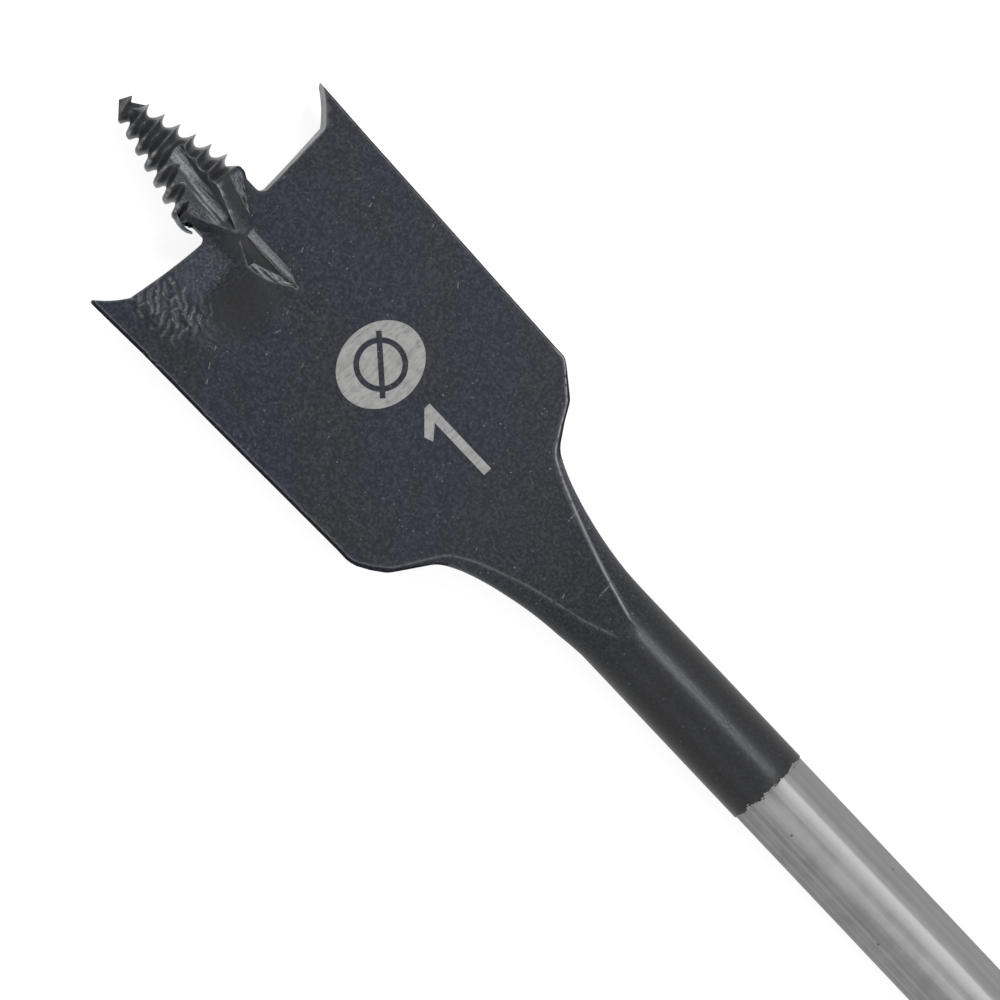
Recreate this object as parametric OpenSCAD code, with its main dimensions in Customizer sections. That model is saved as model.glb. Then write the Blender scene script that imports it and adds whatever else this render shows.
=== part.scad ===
// Self-feeding spade drill bit, forged and ground from one bar, in millimetres.
// The tool axis runs along +X from the driven end to the point, and +Z is the marked blade face.

/* [Overall] */
// Length from the driven end to the point of the lead screw
overall_len = 152.4; // [140:0.1:420]

/* [Hex shank] */
// Distance across the flats of the hex shank
hex_af = 6.35; // [5.5:0.05:6.5]
// Radius of the hex shank's rounded corners
corner_r = 1.27; // [0.5:0.01:2]
// Length of the hex shank
hex_len = 77.1; // [40:0.1:88]
// Length of the bevel at the driven end
end_bevel = 0.7; // [0.2:0.1:1.5]
// Distance of the retaining groove from the driven end
groove_pos = 16; // [10:0.1:25]
// Depth of the retaining groove below the corners
groove_depth = 0.95; // [0.4:0.05:1.4]
// Radius of the retaining groove's round section
groove_r = 2.4; // [1.5:0.1:4]

/* [Neck] */
// Diameter of the round neck
neck_d = 7.15; // [7:0.05:8.5]
// Length of the curved sweep from the shoulder to the neck
sweep_len = 12.4; // [9:0.1:16]
// Half width added to the neck radius at the root of the shoulder
root_flare = 2.68; // [2:0.01:3.5]
// Share of the sweep, from its root, at which its two end tangents meet
sweep_pull_share = 0.4; // [0.25:0.01:0.6]
// Length of each tangent of the fillet at the root of the shoulder
root_fillet = 0.75; // [0.4:0.05:1.2]
// How far down the round neck the flat faces go on narrowing
tongue_run = 0.7; // [0.3:0.1:3]
// Half width of the narrow flats that the faces leave along the neck
tongue_half_w = 0.86; // [0.5:0.01:1.5]

/* [Blade] */
// Width across the spurs
blade_w = 25.4; // [22:0.1:38]
// Thickness of the blade
blade_t = 2.8; // [2.2:0.1:3.4]
// Inward slope of each side, away from the spurs, in degrees
back_taper = 1.8; // [0.5:0.1:3]
// Distance from the point to the lower corners of the straight sides
side_end = 39.3; // [32:0.1:52]
// Width of the rounded band along the straight sides
side_band = 0.22; // [0.1:0.01:0.5]
// Width of the rounded band at the root of the shoulder
shoulder_band = 0.65; // [0.3:0.01:1]
// Width of the bevelled shoulder corner
corner_w = 1.85; // [1:0.05:2.5]
// Length of the bevelled shoulder corner
corner_len = 2.8; // [1.5:0.05:4]
// Length from the bevelled corner to the root of the shoulder
shoulder_len = 2.9; // [2:0.05:5]

/* [Cutting edges] */
// Distance from the collar of the lead screw to the inner end of the cutting edges
gullet_len = 1.9; // [1.3:0.05:3]
// How much nearer the point the outer end of each cutting edge lies
edge_rise = 0.6; // [0.1:0.05:1.2]
// Width of each spur
spur_w = 2.45; // [1.5:0.05:3.5]
// Height of each spur above the outer end of its cutting edge
spur_h = 2.15; // [1:0.05:3]
// Clearance angle behind the cutting edges, in degrees
clearance = 7; // [3:0.5:12]
// Fillet radius between the lead screw and the cutting edges
gullet_r = 0.7; // [0.3:0.05:1.2]

/* [Chip scoops] */
// Radius of the hollow in front of each cutting edge
scoop_r = 14; // [8:0.5:30]
// Distance of the hollow from the axis
scoop_offset = 5.6; // [4.5:0.1:7]
// Depth of the hollow at the cutting edge
scoop_depth = 0.6; // [0.3:0.05:0.9]
// Length over which the hollow runs out
scoop_len = 9; // [6:0.5:14]

/* [Lead screw] */
// Crest radius of the thread at the point
point_r = 0.95; // [0.5:0.05:1.3]
// Radius of the collar that the thread ends in
collar_r = 3.38; // [2.9:0.01:3.5]
// Distance from the point to the top of the collar
collar_pos = 10.45; // [9.5:0.05:11.2]
// Length of the collar
collar_len = 0.55; // [0.2:0.05:1]
// Thread pitch
pitch = 1.43; // [1.2:0.01:2]
// Thread depth
thread_depth = 0.8; // [0.4:0.05:0.9]
// Half angle of the cone behind the collar, in degrees
back_angle = 28; // [18:1:40]

/* [Flutes and notches] */
// Distance of the flute's bottom from the axis
flute_core = 1.65; // [1.5:0.05:2.4]
// Lean of the flute across the axis, in degrees
flute_lean = 10; // [0:1:20]
// Distance from the point to where the flute crosses the axis
flute_cross = 11.2; // [8:0.1:13]
// Slope of the flute's gentle wall, in degrees from the blade face
flute_gentle = 22; // [15:1:35]
// Slope of the flute's steep wall, in degrees from its depth
flute_steep = 8; // [3:1:20]
// Distance from the collar to the upper end of the struck notch
notch_drop = 3.9; // [3.6:0.1:6]
// Length of the struck notch
notch_len = 5.7; // [4:0.1:8]
// Width of the struck notch
notch_w = 1.63; // [1:0.01:2.2]
// Depth of the struck notch
notch_depth = 0.65; // [0.3:0.05:0.9]
// Width of the lip raised beside the notch
lip_w = 0.65; // [0.3:0.05:1]
// Height of the lip raised beside the notch
lip_h = 0.35; // [0.1:0.05:0.5]

/* [Hidden] */

coat = "#3a3c42";
bare_steel = "silver";
round_fn = 64;
// Depth by which pieces of the one solid run into each other, and cutters run past faces
lap = 2;
// Amount by which a buried end stays inside the surface that covers it
inset = 0.02;
// Amount by which the buried corners of the lead screw's base and its web stay inside
base_inset = 0.2;
// Share of a spur's height at which the tangents of its hollow inner flank meet
flank_pull_share = 0.4;
// Shares of the notch's width at its upper end and at its bottom, and of its length at its widest
notch_top_share = 0.5;
notch_floor_share = 0.7;
notch_wide_share = 0.35;

point_z = overall_len;
neck_r = neck_d / 2;
// Distance of the hex corners' centres from the axis, and of the corners themselves
corner_centre = (hex_af / 2 - corner_r) / cos(30);
hex_r = min(corner_centre + corner_r, neck_r - inset);
half_t = blade_t / 2;
half_w = blade_w / 2;

// Heights along the axis, from the point down to the neck
collar_top_z = point_z - collar_pos;
collar_low_z = collar_top_z - collar_len;
edge_z = collar_low_z - gullet_len;
spur_z = edge_z + edge_rise + spur_h;
notch_z = collar_low_z - notch_drop;
side_z = point_z - side_end;
corner_z = side_z - corner_len;
root_z = corner_z - shoulder_len;
neck_top_z = root_z - sweep_len;
tongue_z = neck_top_z - tongue_run;

knee_y = half_w - spur_w;
// Half width of the web between the gullets, whose corners stay inside the collar
web_y = sqrt(pow(collar_r, 2) - pow(half_t, 2)) - base_inset;
// Half thickness and round band of the neck, between its narrow flats
tongue_t = sqrt(pow(neck_r, 2) - pow(tongue_half_w, 2));
tongue_band = neck_r - tongue_half_w;

// Half width of the straight, tapered sides at a height
function side_half_w(z) = half_w - (spur_z - z) * tan(back_taper);

// A point at share t along a curve that starts at a, ends at c and is pulled towards b
function bend(a, b, c, t) = pow(1 - t, 2) * a + 2 * t * (1 - t) * b + t * t * c;

// Share of the run-out of the flat faces reached at a height, from 0 at the shoulder to 1 at the neck
ramp_z = root_z + root_fillet;
function ramp(z) = pow(max(0, min(1, (ramp_z - z) / (ramp_z - tongue_z))), 2);
function section_t(z) = half_t + (tongue_t - half_t) * ramp(z);
function shoulder_share(z) = max(0, min(1, (side_z - z) / (side_z - ramp_z)));
function section_band(z) =
    z > ramp_z ? side_band + (shoulder_band - side_band) * shoulder_share(z)
               : shoulder_band + (tongue_band - shoulder_band) * ramp(z);

// The outline of the neck and the blade up to above the spurs, as [half width, height]
corner_in = [side_half_w(side_z) - corner_w, corner_z];
root = [neck_r + root_flare, root_z];
sweep_pull = [neck_r, root_z - sweep_len * sweep_pull_share];
root_dir = (sweep_pull - root) / norm(sweep_pull - root);
fillet_pull = root - root_fillet * root_dir;
shoulder_dir = (corner_in - fillet_pull) / norm(corner_in - fillet_pull);
fillet_in = fillet_pull + root_fillet * shoulder_dir;
blank_top_z = spur_z + lap / 2;
sweep_steps = 15;
fillet_steps = 4;
outline = concat(
    [[neck_r, hex_len], [neck_r, tongue_z]],
    [for (i = [0:sweep_steps - 1])
        bend([neck_r, neck_top_z], sweep_pull, root, i / sweep_steps)],
    [for (i = [0:fillet_steps]) bend(root, fillet_pull, fillet_in, i / fillet_steps)],
    [corner_in, [side_half_w(side_z), side_z], [side_half_w(blank_top_z), blank_top_z]]
);

// One cross-section of the blade: flat faces joined by round sides that fit the neck's circle
arc_steps = 24;
function section(half, z) =
    let (t = section_t(z),
         turn = acos((half - section_band(z)) / half),
         swell = t / sin(turn))
    concat(
        [for (i = [0:arc_steps])
            let (a = -turn + 2 * turn * i / arc_steps) [swell * sin(a), half * cos(a), z]],
        [for (i = [0:arc_steps])
            let (a = turn - 2 * turn * i / arc_steps) [swell * sin(a), -half * cos(a), z]]
    );

// Solid skinned over a list of cross-sections that all have the same count of points
module loft(sections) {
    n = len(sections[0]);
    last = len(sections) - 1;
    polyhedron(
        points = [for (s = sections) each s],
        faces = concat(
            [[for (i = [n - 1:-1:0]) i]],
            [for (k = [0:last - 1], i = [0:n - 1])
                each let (a = k * n + i, b = k * n + (i + 1) % n) [[a, b + n, a + n], [a, b, b + n]]],
            [[for (i = [0:n - 1]) last * n + i]]
        )
    );
}

// Puts the child on both sides of the axis, half a turn apart
module both_sides() {
    for (a = [0, 180]) rotate([0, 0, a]) children();
}

// Everything above one cutting edge and its spur, leaning back by the clearance angle
module edge_cutter() {
    web_z = (collar_top_z + collar_low_z) / 2 - edge_z;
    knee = [knee_y, edge_rise];
    spur = [half_w + inset, edge_rise + spur_h];
    flank_pull = [knee_y + spur_w * (1 - flank_pull_share), edge_rise + spur_h * flank_pull_share];
    gullet_steps = 5;
    flank_steps = 6;
    above = point_z - edge_z;
    profile = concat(
        [[0, above], [0, web_z], [web_y, web_z]],
        [for (i = [0:gullet_steps])
            let (a = 180 + 90 * i / gullet_steps)
            [web_y + gullet_r + gullet_r * cos(a), gullet_r + gullet_r * sin(a)]],
        [for (i = [0:flank_steps]) bend(knee, flank_pull, spur, i / flank_steps)],
        [[half_w + lap, edge_rise + spur_h], [half_w + lap, above]]
    );
    translate([-half_t, 0, edge_z])
        rotate([0, 90 + clearance, 0])
            translate([0, 0, -lap])
                linear_extrude(blade_t + 2 * lap)
                    polygon([for (p = profile) [-p[1], p[0]]]);
}

// Hollow that curls the chip in front of one cutting edge
module chip_scoop() {
    tilt = atan(scoop_depth / scoop_len);
    translate([-half_t + scoop_depth, scoop_offset, edge_z])
        rotate([0, tilt, 0])
            translate([-scoop_r, 0, -scoop_len * 2])
                cylinder(r = scoop_r, h = scoop_len * 3, $fn = round_fn);
}

// Flat blade that sweeps down to the round neck, on which its faces leave two narrow flats
module blade() {
    difference() {
        loft([for (p = outline) section(p[0], p[1])]);
        both_sides() edge_cutter();
        both_sides() chip_scoop();
    }
}

// Collar under the thread and the cone that carries it into the blade
module screw_base() {
    toe_r = half_t - base_inset;
    flank_z = collar_top_z + pitch / 2;
    toe_z = collar_low_z - (collar_r - toe_r) / tan(back_angle);
    rotate_extrude($fn = round_fn)
        polygon([[0, toe_z], [toe_r, toe_z], [collar_r, collar_low_z], [collar_r, collar_top_z],
                 [collar_r - thread_depth, flank_z], [0, flank_z]]);
}

// Tapered right-hand thread, swept as a helix whose turns share their crest line
turn_steps = 28;
pitch_steps = 8;
// Distance of the first crest from the point
point_gap = 0.35;
// Share of the crest radius, and of the thread depth, that is left at the point
blunt_share = 0.75;
start_share = 0.3;
// Least radius of metal under the thread
least_core = 0.15;
// Distances over which the thread runs into the collar and out under it, and its depth there
run_out_len = 0.5 * pitch;
buried_len = 0.77 * pitch;
buried_depth = 0.4;
crest_slope = (collar_r - point_r) / (collar_pos - run_out_len);
helix_z = collar_top_z - buried_len;
helix_steps = floor(turn_steps * ((point_z - point_gap - helix_z) / pitch - 1));

// Thread radius at a distance from the point, where u is 1 on the crest and 0 in the root
function thread_r(d, u) =
    let (blunt = min(1, blunt_share + (1 - blunt_share) * d / pitch),
         crest = min(collar_r, point_r + crest_slope * d) * blunt,
         run_in = min(1, start_share + d / pitch),
         run_out = max(0, min(1, (collar_pos - d) / run_out_len + start_share)),
         depth = min(crest - least_core, thread_depth * run_in * run_out),
         buried = d > collar_pos ? buried_depth : 0)
    crest - buried - depth * (1 - u * u);

function thread_point(k, m) =
    let (a = 360 * k / turn_steps,
         z = helix_z + pitch * (k / turn_steps + m / pitch_steps),
         r = thread_r(point_z - z, abs(2 * m / pitch_steps - 1)))
    [r * cos(a), r * sin(a), z];

module screw_thread() {
    rim = 1 + (helix_steps + 1) * pitch_steps;
    rim_k = helix_steps - turn_steps + 1;
    function at(k, m) =
        m < pitch_steps ? 1 + k * pitch_steps + m
        : k + turn_steps <= helix_steps ? at(k + turn_steps, 0)
        : rim + k - rim_k;
    tip = rim + turn_steps;
    low_loop = concat([for (k = [0:turn_steps]) at(k, 0)],
                      [for (m = [pitch_steps - 1:-1:0]) at(0, m)]);
    top_loop = concat([for (k = [rim_k - 1:helix_steps]) at(k, pitch_steps)],
                      [for (m = [pitch_steps - 1:-1:0]) at(helix_steps, m)]);
    polyhedron(
        points = concat(
            [[0, 0, helix_z]],
            [for (k = [0:helix_steps], m = [0:pitch_steps - 1]) thread_point(k, m)],
            [for (k = [rim_k:helix_steps]) thread_point(k, pitch_steps)],
            [[0, 0, point_z]]
        ),
        faces = concat(
            [for (k = [0:helix_steps - 1], m = [0:pitch_steps - 1])
                each [[at(k, m), at(k, m + 1), at(k + 1, m + 1)],
                      [at(k, m), at(k + 1, m + 1), at(k + 1, m)]]],
            [for (i = [0:len(low_loop) - 2]) [0, low_loop[i], low_loop[i + 1]]],
            [for (i = [0:len(top_loop) - 2]) [tip, top_loop[i + 1], top_loop[i]]]
        )
    );
}

// Leaning groove ground along the lead screw, with one gentle and one steep wall
module flute() {
    reach = collar_r + lap;
    translate([-flute_core, 0, point_z - flute_cross])
        rotate([flute_lean, 0, 0])
            linear_extrude(2 * flute_cross, center = true)
                polygon([[0, 0], [-reach, -reach * tan(flute_steep)], [-reach, reach],
                         [-reach * tan(flute_gentle), reach]]);
}

// Kite-shaped notch struck into a blade face, with a short wall on its outer side
module notch() {
    wide_z = notch_z - notch_wide_share * notch_len;
    rim = [[0, notch_z], [notch_top_share * notch_w, notch_z], [notch_w, wide_z],
           [0, notch_z - notch_len]];
    polyhedron(
        points = concat(
            [for (x = [-half_t - lap, -half_t], p = rim) [x, p[0], p[1]]],
            [[-half_t + notch_depth, notch_floor_share * notch_w, wide_z]]
        ),
        faces = concat(
            [[3, 2, 1, 0]],
            [for (i = [0:3]) each let (j = (i + 1) % 4) [[i, j + 4, i + 4], [i, j, j + 4]]],
            [for (i = [0:3]) [8, 4 + i, 4 + (i + 1) % 4]]
        )
    );
}

// Low lip of metal pushed up beside the notch
module lip() {
    low = -half_t + lip_h;
    polyhedron(
        points = [[low, 0, notch_z], [low, -2 * lip_w, notch_z], [-half_t - lip_h, 0, notch_z],
                  [low, 0, notch_z - 2 * notch_len]],
        faces = [[0, 1, 2], [0, 2, 3], [0, 3, 1], [1, 3, 2]]
    );
}

// Section of the hex shank, with flats joined by round corners
corner_steps = 8;
hex_section = [for (k = [0:5], i = [0:corner_steps])
    let (a = 60 * k, b = a - 30 + 60 * i / corner_steps)
    corner_centre * [cos(a), sin(a)] + corner_r * [cos(b), sin(b)]];

// Hex shank with round corners, a bevelled end and a retaining groove
module hex_shank() {
    rod_len = hex_len + lap;
    difference() {
        intersection() {
            rotate([0, 0, 30]) linear_extrude(rod_len) polygon(hex_section);
            rotate_extrude($fn = round_fn)
                polygon([[0, 0], [hex_r - end_bevel, 0], [hex_r, end_bevel],
                         [hex_r, rod_len], [0, rod_len]]);
        }
        rotate_extrude($fn = round_fn)
            translate([hex_r - groove_depth + groove_r, groove_pos]) circle(groove_r, $fn = round_fn);
    }
}

// The whole bit, with its axis laid along +X
module spade_bit() {
    rotate([0, 90, 0]) {
        color(bare_steel) hex_shank();
        color(coat) difference() {
            union() {
                blade();
                screw_base();
                screw_thread();
                both_sides() lip();
            }
            both_sides() flute();
            both_sides() notch();
        }
    }
}

spade_bit();
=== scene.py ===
"""Studio picture of a self-feeding spade drill bit.

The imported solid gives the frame. The bit is built here once more as one fine mesh, from the same sizes, with
the forged, ground and worn surface that the plain solid leaves out, and is dressed in its black coat and bare
steel. Sizes are in millimetres until a mesh is made. +X runs to the point of the lead screw and +Z out of the
marked face. A distance that is called "at" counts from that point.
"""

from __future__ import annotations

import logging
import math
from collections.abc import Iterator
from contextlib import contextmanager
from dataclasses import dataclass, field
from enum import Enum
from functools import reduce

import bmesh
import bpy
import numpy as np
from mathutils import Matrix, Vector, kdtree, noise

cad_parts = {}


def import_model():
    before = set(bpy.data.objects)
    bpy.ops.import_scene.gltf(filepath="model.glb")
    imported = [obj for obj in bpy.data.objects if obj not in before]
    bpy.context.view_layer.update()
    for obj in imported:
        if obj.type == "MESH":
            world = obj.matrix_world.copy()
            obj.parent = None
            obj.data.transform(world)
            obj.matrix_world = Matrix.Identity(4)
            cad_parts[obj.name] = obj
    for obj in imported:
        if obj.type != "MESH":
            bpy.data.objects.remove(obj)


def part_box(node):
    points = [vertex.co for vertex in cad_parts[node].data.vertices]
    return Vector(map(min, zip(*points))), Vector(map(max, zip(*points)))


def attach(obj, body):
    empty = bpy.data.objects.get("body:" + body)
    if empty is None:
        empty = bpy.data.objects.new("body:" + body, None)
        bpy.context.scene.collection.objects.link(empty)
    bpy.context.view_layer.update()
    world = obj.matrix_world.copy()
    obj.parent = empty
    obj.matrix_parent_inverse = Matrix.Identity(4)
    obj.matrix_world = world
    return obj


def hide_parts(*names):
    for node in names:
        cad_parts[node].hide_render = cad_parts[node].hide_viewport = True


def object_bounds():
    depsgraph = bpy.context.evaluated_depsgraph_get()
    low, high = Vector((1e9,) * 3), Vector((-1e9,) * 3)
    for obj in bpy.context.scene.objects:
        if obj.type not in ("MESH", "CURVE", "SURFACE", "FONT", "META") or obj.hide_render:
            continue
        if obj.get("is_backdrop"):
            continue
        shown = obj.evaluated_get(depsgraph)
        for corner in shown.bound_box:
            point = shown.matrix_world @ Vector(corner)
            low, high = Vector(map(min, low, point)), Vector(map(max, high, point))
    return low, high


LOG = logging.getLogger("spade_bit")
MM = 0.001
TINY = 1e-6
WELD = 1e-7
NODE = "spade_bit"
BODY = "root"

Colour = tuple[float, float, float, float]
Rows = tuple[tuple[float, ...], ...]


class Slot(Enum):
    """Material slots of the part's record."""

    COAT = "black_coat"
    STEEL = "bare_steel"


class How(Enum):
    """Ways of combining solids."""

    UNION = "UNION"
    DIFFERENCE = "DIFFERENCE"


# Node trees


class Wire:
    """One value that flows through a node tree. Arithmetic on it adds math nodes."""

    def __init__(self, tree: bpy.types.NodeTree, socket: bpy.types.NodeSocket) -> None:
        """Keeps the tree and the output socket that the value comes from."""
        self.tree = tree
        self.socket = socket

    def math(self, operation: str, *values: Wire | float) -> Wire:
        """Adds a math node.

        Args:
            operation: The math node's operation.
            values: What feeds the node's inputs, in order.

        Returns:
            The node's result.
        """
        node = self.tree.nodes.new("ShaderNodeMath")
        node.operation = operation
        for socket, value in zip(node.inputs, values):
            feed(socket, value)
        return Wire(self.tree, node.outputs[0])

    def __add__(self, other: Wire | float) -> Wire:
        """Sum."""
        return self.math("ADD", self, other)

    def __radd__(self, other: float) -> Wire:
        """Sum."""
        return self.math("ADD", other, self)

    def __sub__(self, other: Wire | float) -> Wire:
        """Difference."""
        return self.math("SUBTRACT", self, other)

    def __rsub__(self, other: float) -> Wire:
        """Difference from a plain number."""
        return self.math("SUBTRACT", other, self)

    def __mul__(self, other: Wire | float) -> Wire:
        """Product."""
        return self.math("MULTIPLY", self, other)

    def __rmul__(self, other: float) -> Wire:
        """Product."""
        return self.math("MULTIPLY", other, self)

    def __truediv__(self, other: Wire | float) -> Wire:
        """Quotient."""
        return self.math("DIVIDE", self, other)

    def least(self, other: Wire | float) -> Wire:
        """The smaller of two values."""
        return self.math("MINIMUM", self, other)

    def most(self, other: Wire | float) -> Wire:
        """The larger of two values."""
        return self.math("MAXIMUM", self, other)

    def size(self) -> Wire:
        """The value without its sign."""
        return self.math("ABSOLUTE", self)

    def above(self, limit: Wire | float) -> Wire:
        """1 where the value is above a limit, else 0."""
        return self.math("GREATER_THAN", self, limit)

    def ease(self, low: float, high: float) -> Wire:
        """Eased step.

        Args:
            low: Value that gives 0.
            high: Value that gives 1, which may be below low.

        Returns:
            A value from 0 to 1.
        """
        node = self.tree.nodes.new("ShaderNodeMapRange")
        node.interpolation_type = "SMOOTHSTEP"
        flip = low > high
        feed(node.inputs["Value"], self)
        feed(node.inputs["From Min"], min(low, high))
        feed(node.inputs["From Max"], max(low, high))
        feed(node.inputs["To Min"], 1.0 if flip else 0.0)
        feed(node.inputs["To Max"], 0.0 if flip else 1.0)
        return Wire(self.tree, node.outputs["Result"])


def feed(socket: bpy.types.NodeSocket, value: object) -> None:
    """Links a wire to an input socket, or sets the socket to a plain value.

    Args:
        socket: The input socket.
        value: The wire or the plain value.
    """
    if isinstance(value, Wire):
        value.tree.links.new(value.socket, socket)
    else:
        socket.default_value = value


@dataclass
class Loom:
    """A node tree that is being made."""

    tree: bpy.types.NodeTree

    def node(self, kind: str, inputs: dict[str, object] | None = None, **settings: object) -> bpy.types.Node:
        """Adds a node.

        Args:
            kind: The node's type name.
            inputs: Values or wires for its inputs, by socket name.
            settings: The node's own properties.

        Returns:
            The new node.
        """
        made = self.tree.nodes.new(kind)
        for name, value in settings.items():
            setattr(made, name, value)
        for name, value in (inputs or {}).items():
            feed(made.inputs[name], value)
        return made

    def wire(
        self, kind: str, output: str, inputs: dict[str, object] | None = None, **settings: object
    ) -> Wire:
        """Adds a node and returns one of its outputs as a wire."""
        return Wire(self.tree, self.node(kind, inputs, **settings).outputs[output])

    def split(self, vector: Wire) -> tuple[Wire, Wire, Wire]:
        """The three parts of a vector, one wire for each axis."""
        node = self.node("ShaderNodeSeparateXYZ", {"Vector": vector})
        return tuple(Wire(self.tree, socket) for socket in node.outputs)


@dataclass
class GeometryLoom(Loom):
    """A geometry tree that puts out one mesh."""

    given: dict[str, Wire]

    @classmethod
    def begin(cls, name: str, inputs: dict[str, str]) -> GeometryLoom:
        """Starts a tree.

        Args:
            name: The tree's name.
            inputs: Socket type of each input, by name.

        Returns:
            The tree, with a wire for each input.
        """
        tree = bpy.data.node_groups.new(name, "GeometryNodeTree")
        for label, kind in inputs.items():
            tree.interface.new_socket(label, in_out="INPUT", socket_type=kind)
        tree.interface.new_socket("Mesh", in_out="OUTPUT", socket_type="NodeSocketGeometry")
        sockets = tree.nodes.new("NodeGroupInput").outputs
        return cls(tree, {label: Wire(tree, sockets[label]) for label in inputs})

    def position(self) -> tuple[Wire, Wire, Wire]:
        """Place of each point, one wire for each axis."""
        return self.split(self.wire("GeometryNodeInputPosition", "Position"))

    def finish(self, geometry: Wire, material: bpy.types.Material) -> bpy.types.GeometryNodeTree:
        """Ends the tree in a plain, dressed mesh.

        Args:
            geometry: What the tree has made.
            material: What all of it is dressed in.

        Returns:
            The finished tree.
        """
        real = self.wire("GeometryNodeRealizeInstances", "Geometry", {"Geometry": geometry})
        dressed = self.wire("GeometryNodeSetMaterial", "Geometry", {"Geometry": real, "Material": material})
        self.node("NodeGroupOutput", {"Mesh": dressed})
        return self.tree


@dataclass
class ShaderLoom(Loom):
    """The node tree of a material, with the patterns that the finishes share."""

    material: bpy.types.Material

    @classmethod
    def begin(cls, name: str) -> ShaderLoom:
        """Starts a material with an empty node tree.

        Args:
            name: The material's name.

        Returns:
            The material's tree.
        """
        material = bpy.data.materials.new(name)
        material.use_nodes = True
        material.node_tree.nodes.clear()
        return cls(material.node_tree, material)

    def place(self, stretch: tuple[float, float, float] = (1.0, 1.0, 1.0)) -> Wire:
        """Object coordinates in millimetres.

        Args:
            stretch: Factor on the pattern's frequency along each axis.

        Returns:
            The coordinates as a vector.
        """
        spot = self.wire("ShaderNodeTexCoord", "Object")
        scale = tuple(s / MM for s in stretch)
        return self.wire("ShaderNodeMapping", "Vector", {"Vector": spot, "Scale": scale})

    def along(self) -> tuple[Wire, Wire, Wire]:
        """Object coordinates in millimetres, one wire for each axis."""
        return self.split(self.place())

    def grain(
        self, per_mm: float, detail: float = 2.0, stretch: tuple[float, float, float] = (1, 1, 1)
    ) -> Wire:
        """Soft noise about 0.5.

        Args:
            per_mm: Features to the millimetre.
            detail: Count of finer layers.
            stretch: Factor on the frequency along each axis.

        Returns:
            The noise value.
        """
        inputs = {"Vector": self.place(stretch), "Scale": per_mm, "Detail": detail, "Roughness": 0.55}
        return self.wire("ShaderNodeTexNoise", "Fac", inputs)

    def dots(self, per_mm: float, radius: float, share: float) -> Wire:
        """Scattered round dots.

        Args:
            per_mm: Cells to the millimetre.
            radius: Dot radius as a share of a cell.
            share: Share of the cells that hold a dot.

        Returns:
            1 inside a dot, 0 outside, with soft rims.
        """
        cells = self.node("ShaderNodeTexVoronoi", {"Vector": self.place(), "Scale": per_mm})
        colour = Wire(self.tree, cells.outputs["Color"])
        picked = self.wire("ShaderNodeSeparateColor", "Red", {"Color": colour})
        near = Wire(self.tree, cells.outputs["Distance"]).ease(radius, radius * 0.4)
        return near * picked.math("LESS_THAN", picked, share)

    def mark(self, name: str) -> Wire:
        """A value that the mesh carries under this name."""
        return self.wire("ShaderNodeAttribute", "Fac", attribute_name=name)

    def blend(self, share: Wire, low: object, high: object) -> Wire:
        """Mixes two colours.

        Args:
            share: 0 for the first colour, 1 for the second.
            low: First colour, plain or a wire.
            high: Second colour, plain or a wire.

        Returns:
            The mixed colour.
        """
        node = self.node("ShaderNodeMix", data_type="RGBA")
        feed(node.inputs[0], share)
        feed(node.inputs[6], low)
        feed(node.inputs[7], high)
        return Wire(self.tree, node.outputs[2])

    def relief(self, height: Wire, depth_mm: float, strength: float = 1.0) -> Wire:
        """Bumped normal.

        Args:
            height: Relief from 0 to 1.
            depth_mm: Height of the relief.
            strength: Share of the bump that shows.

        Returns:
            The normal for a shader.
        """
        inputs = {"Height": height, "Distance": depth_mm * MM, "Strength": strength}
        return self.wire("ShaderNodeBump", "Normal", inputs)

    def finish(self, **inputs: object) -> bpy.types.Material:
        """Ends the tree in a Principled shader.

        Args:
            inputs: Values or wires for the shader, with _ for each space in a socket's name.

        Returns:
            The finished material.
        """
        named = {name.replace("_", " "): value for name, value in inputs.items()}
        shader = self.wire("ShaderNodeBsdfPrincipled", "BSDF", named)
        self.node("ShaderNodeOutputMaterial", {"Surface": shader})
        return self.material


# Finishes


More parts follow.
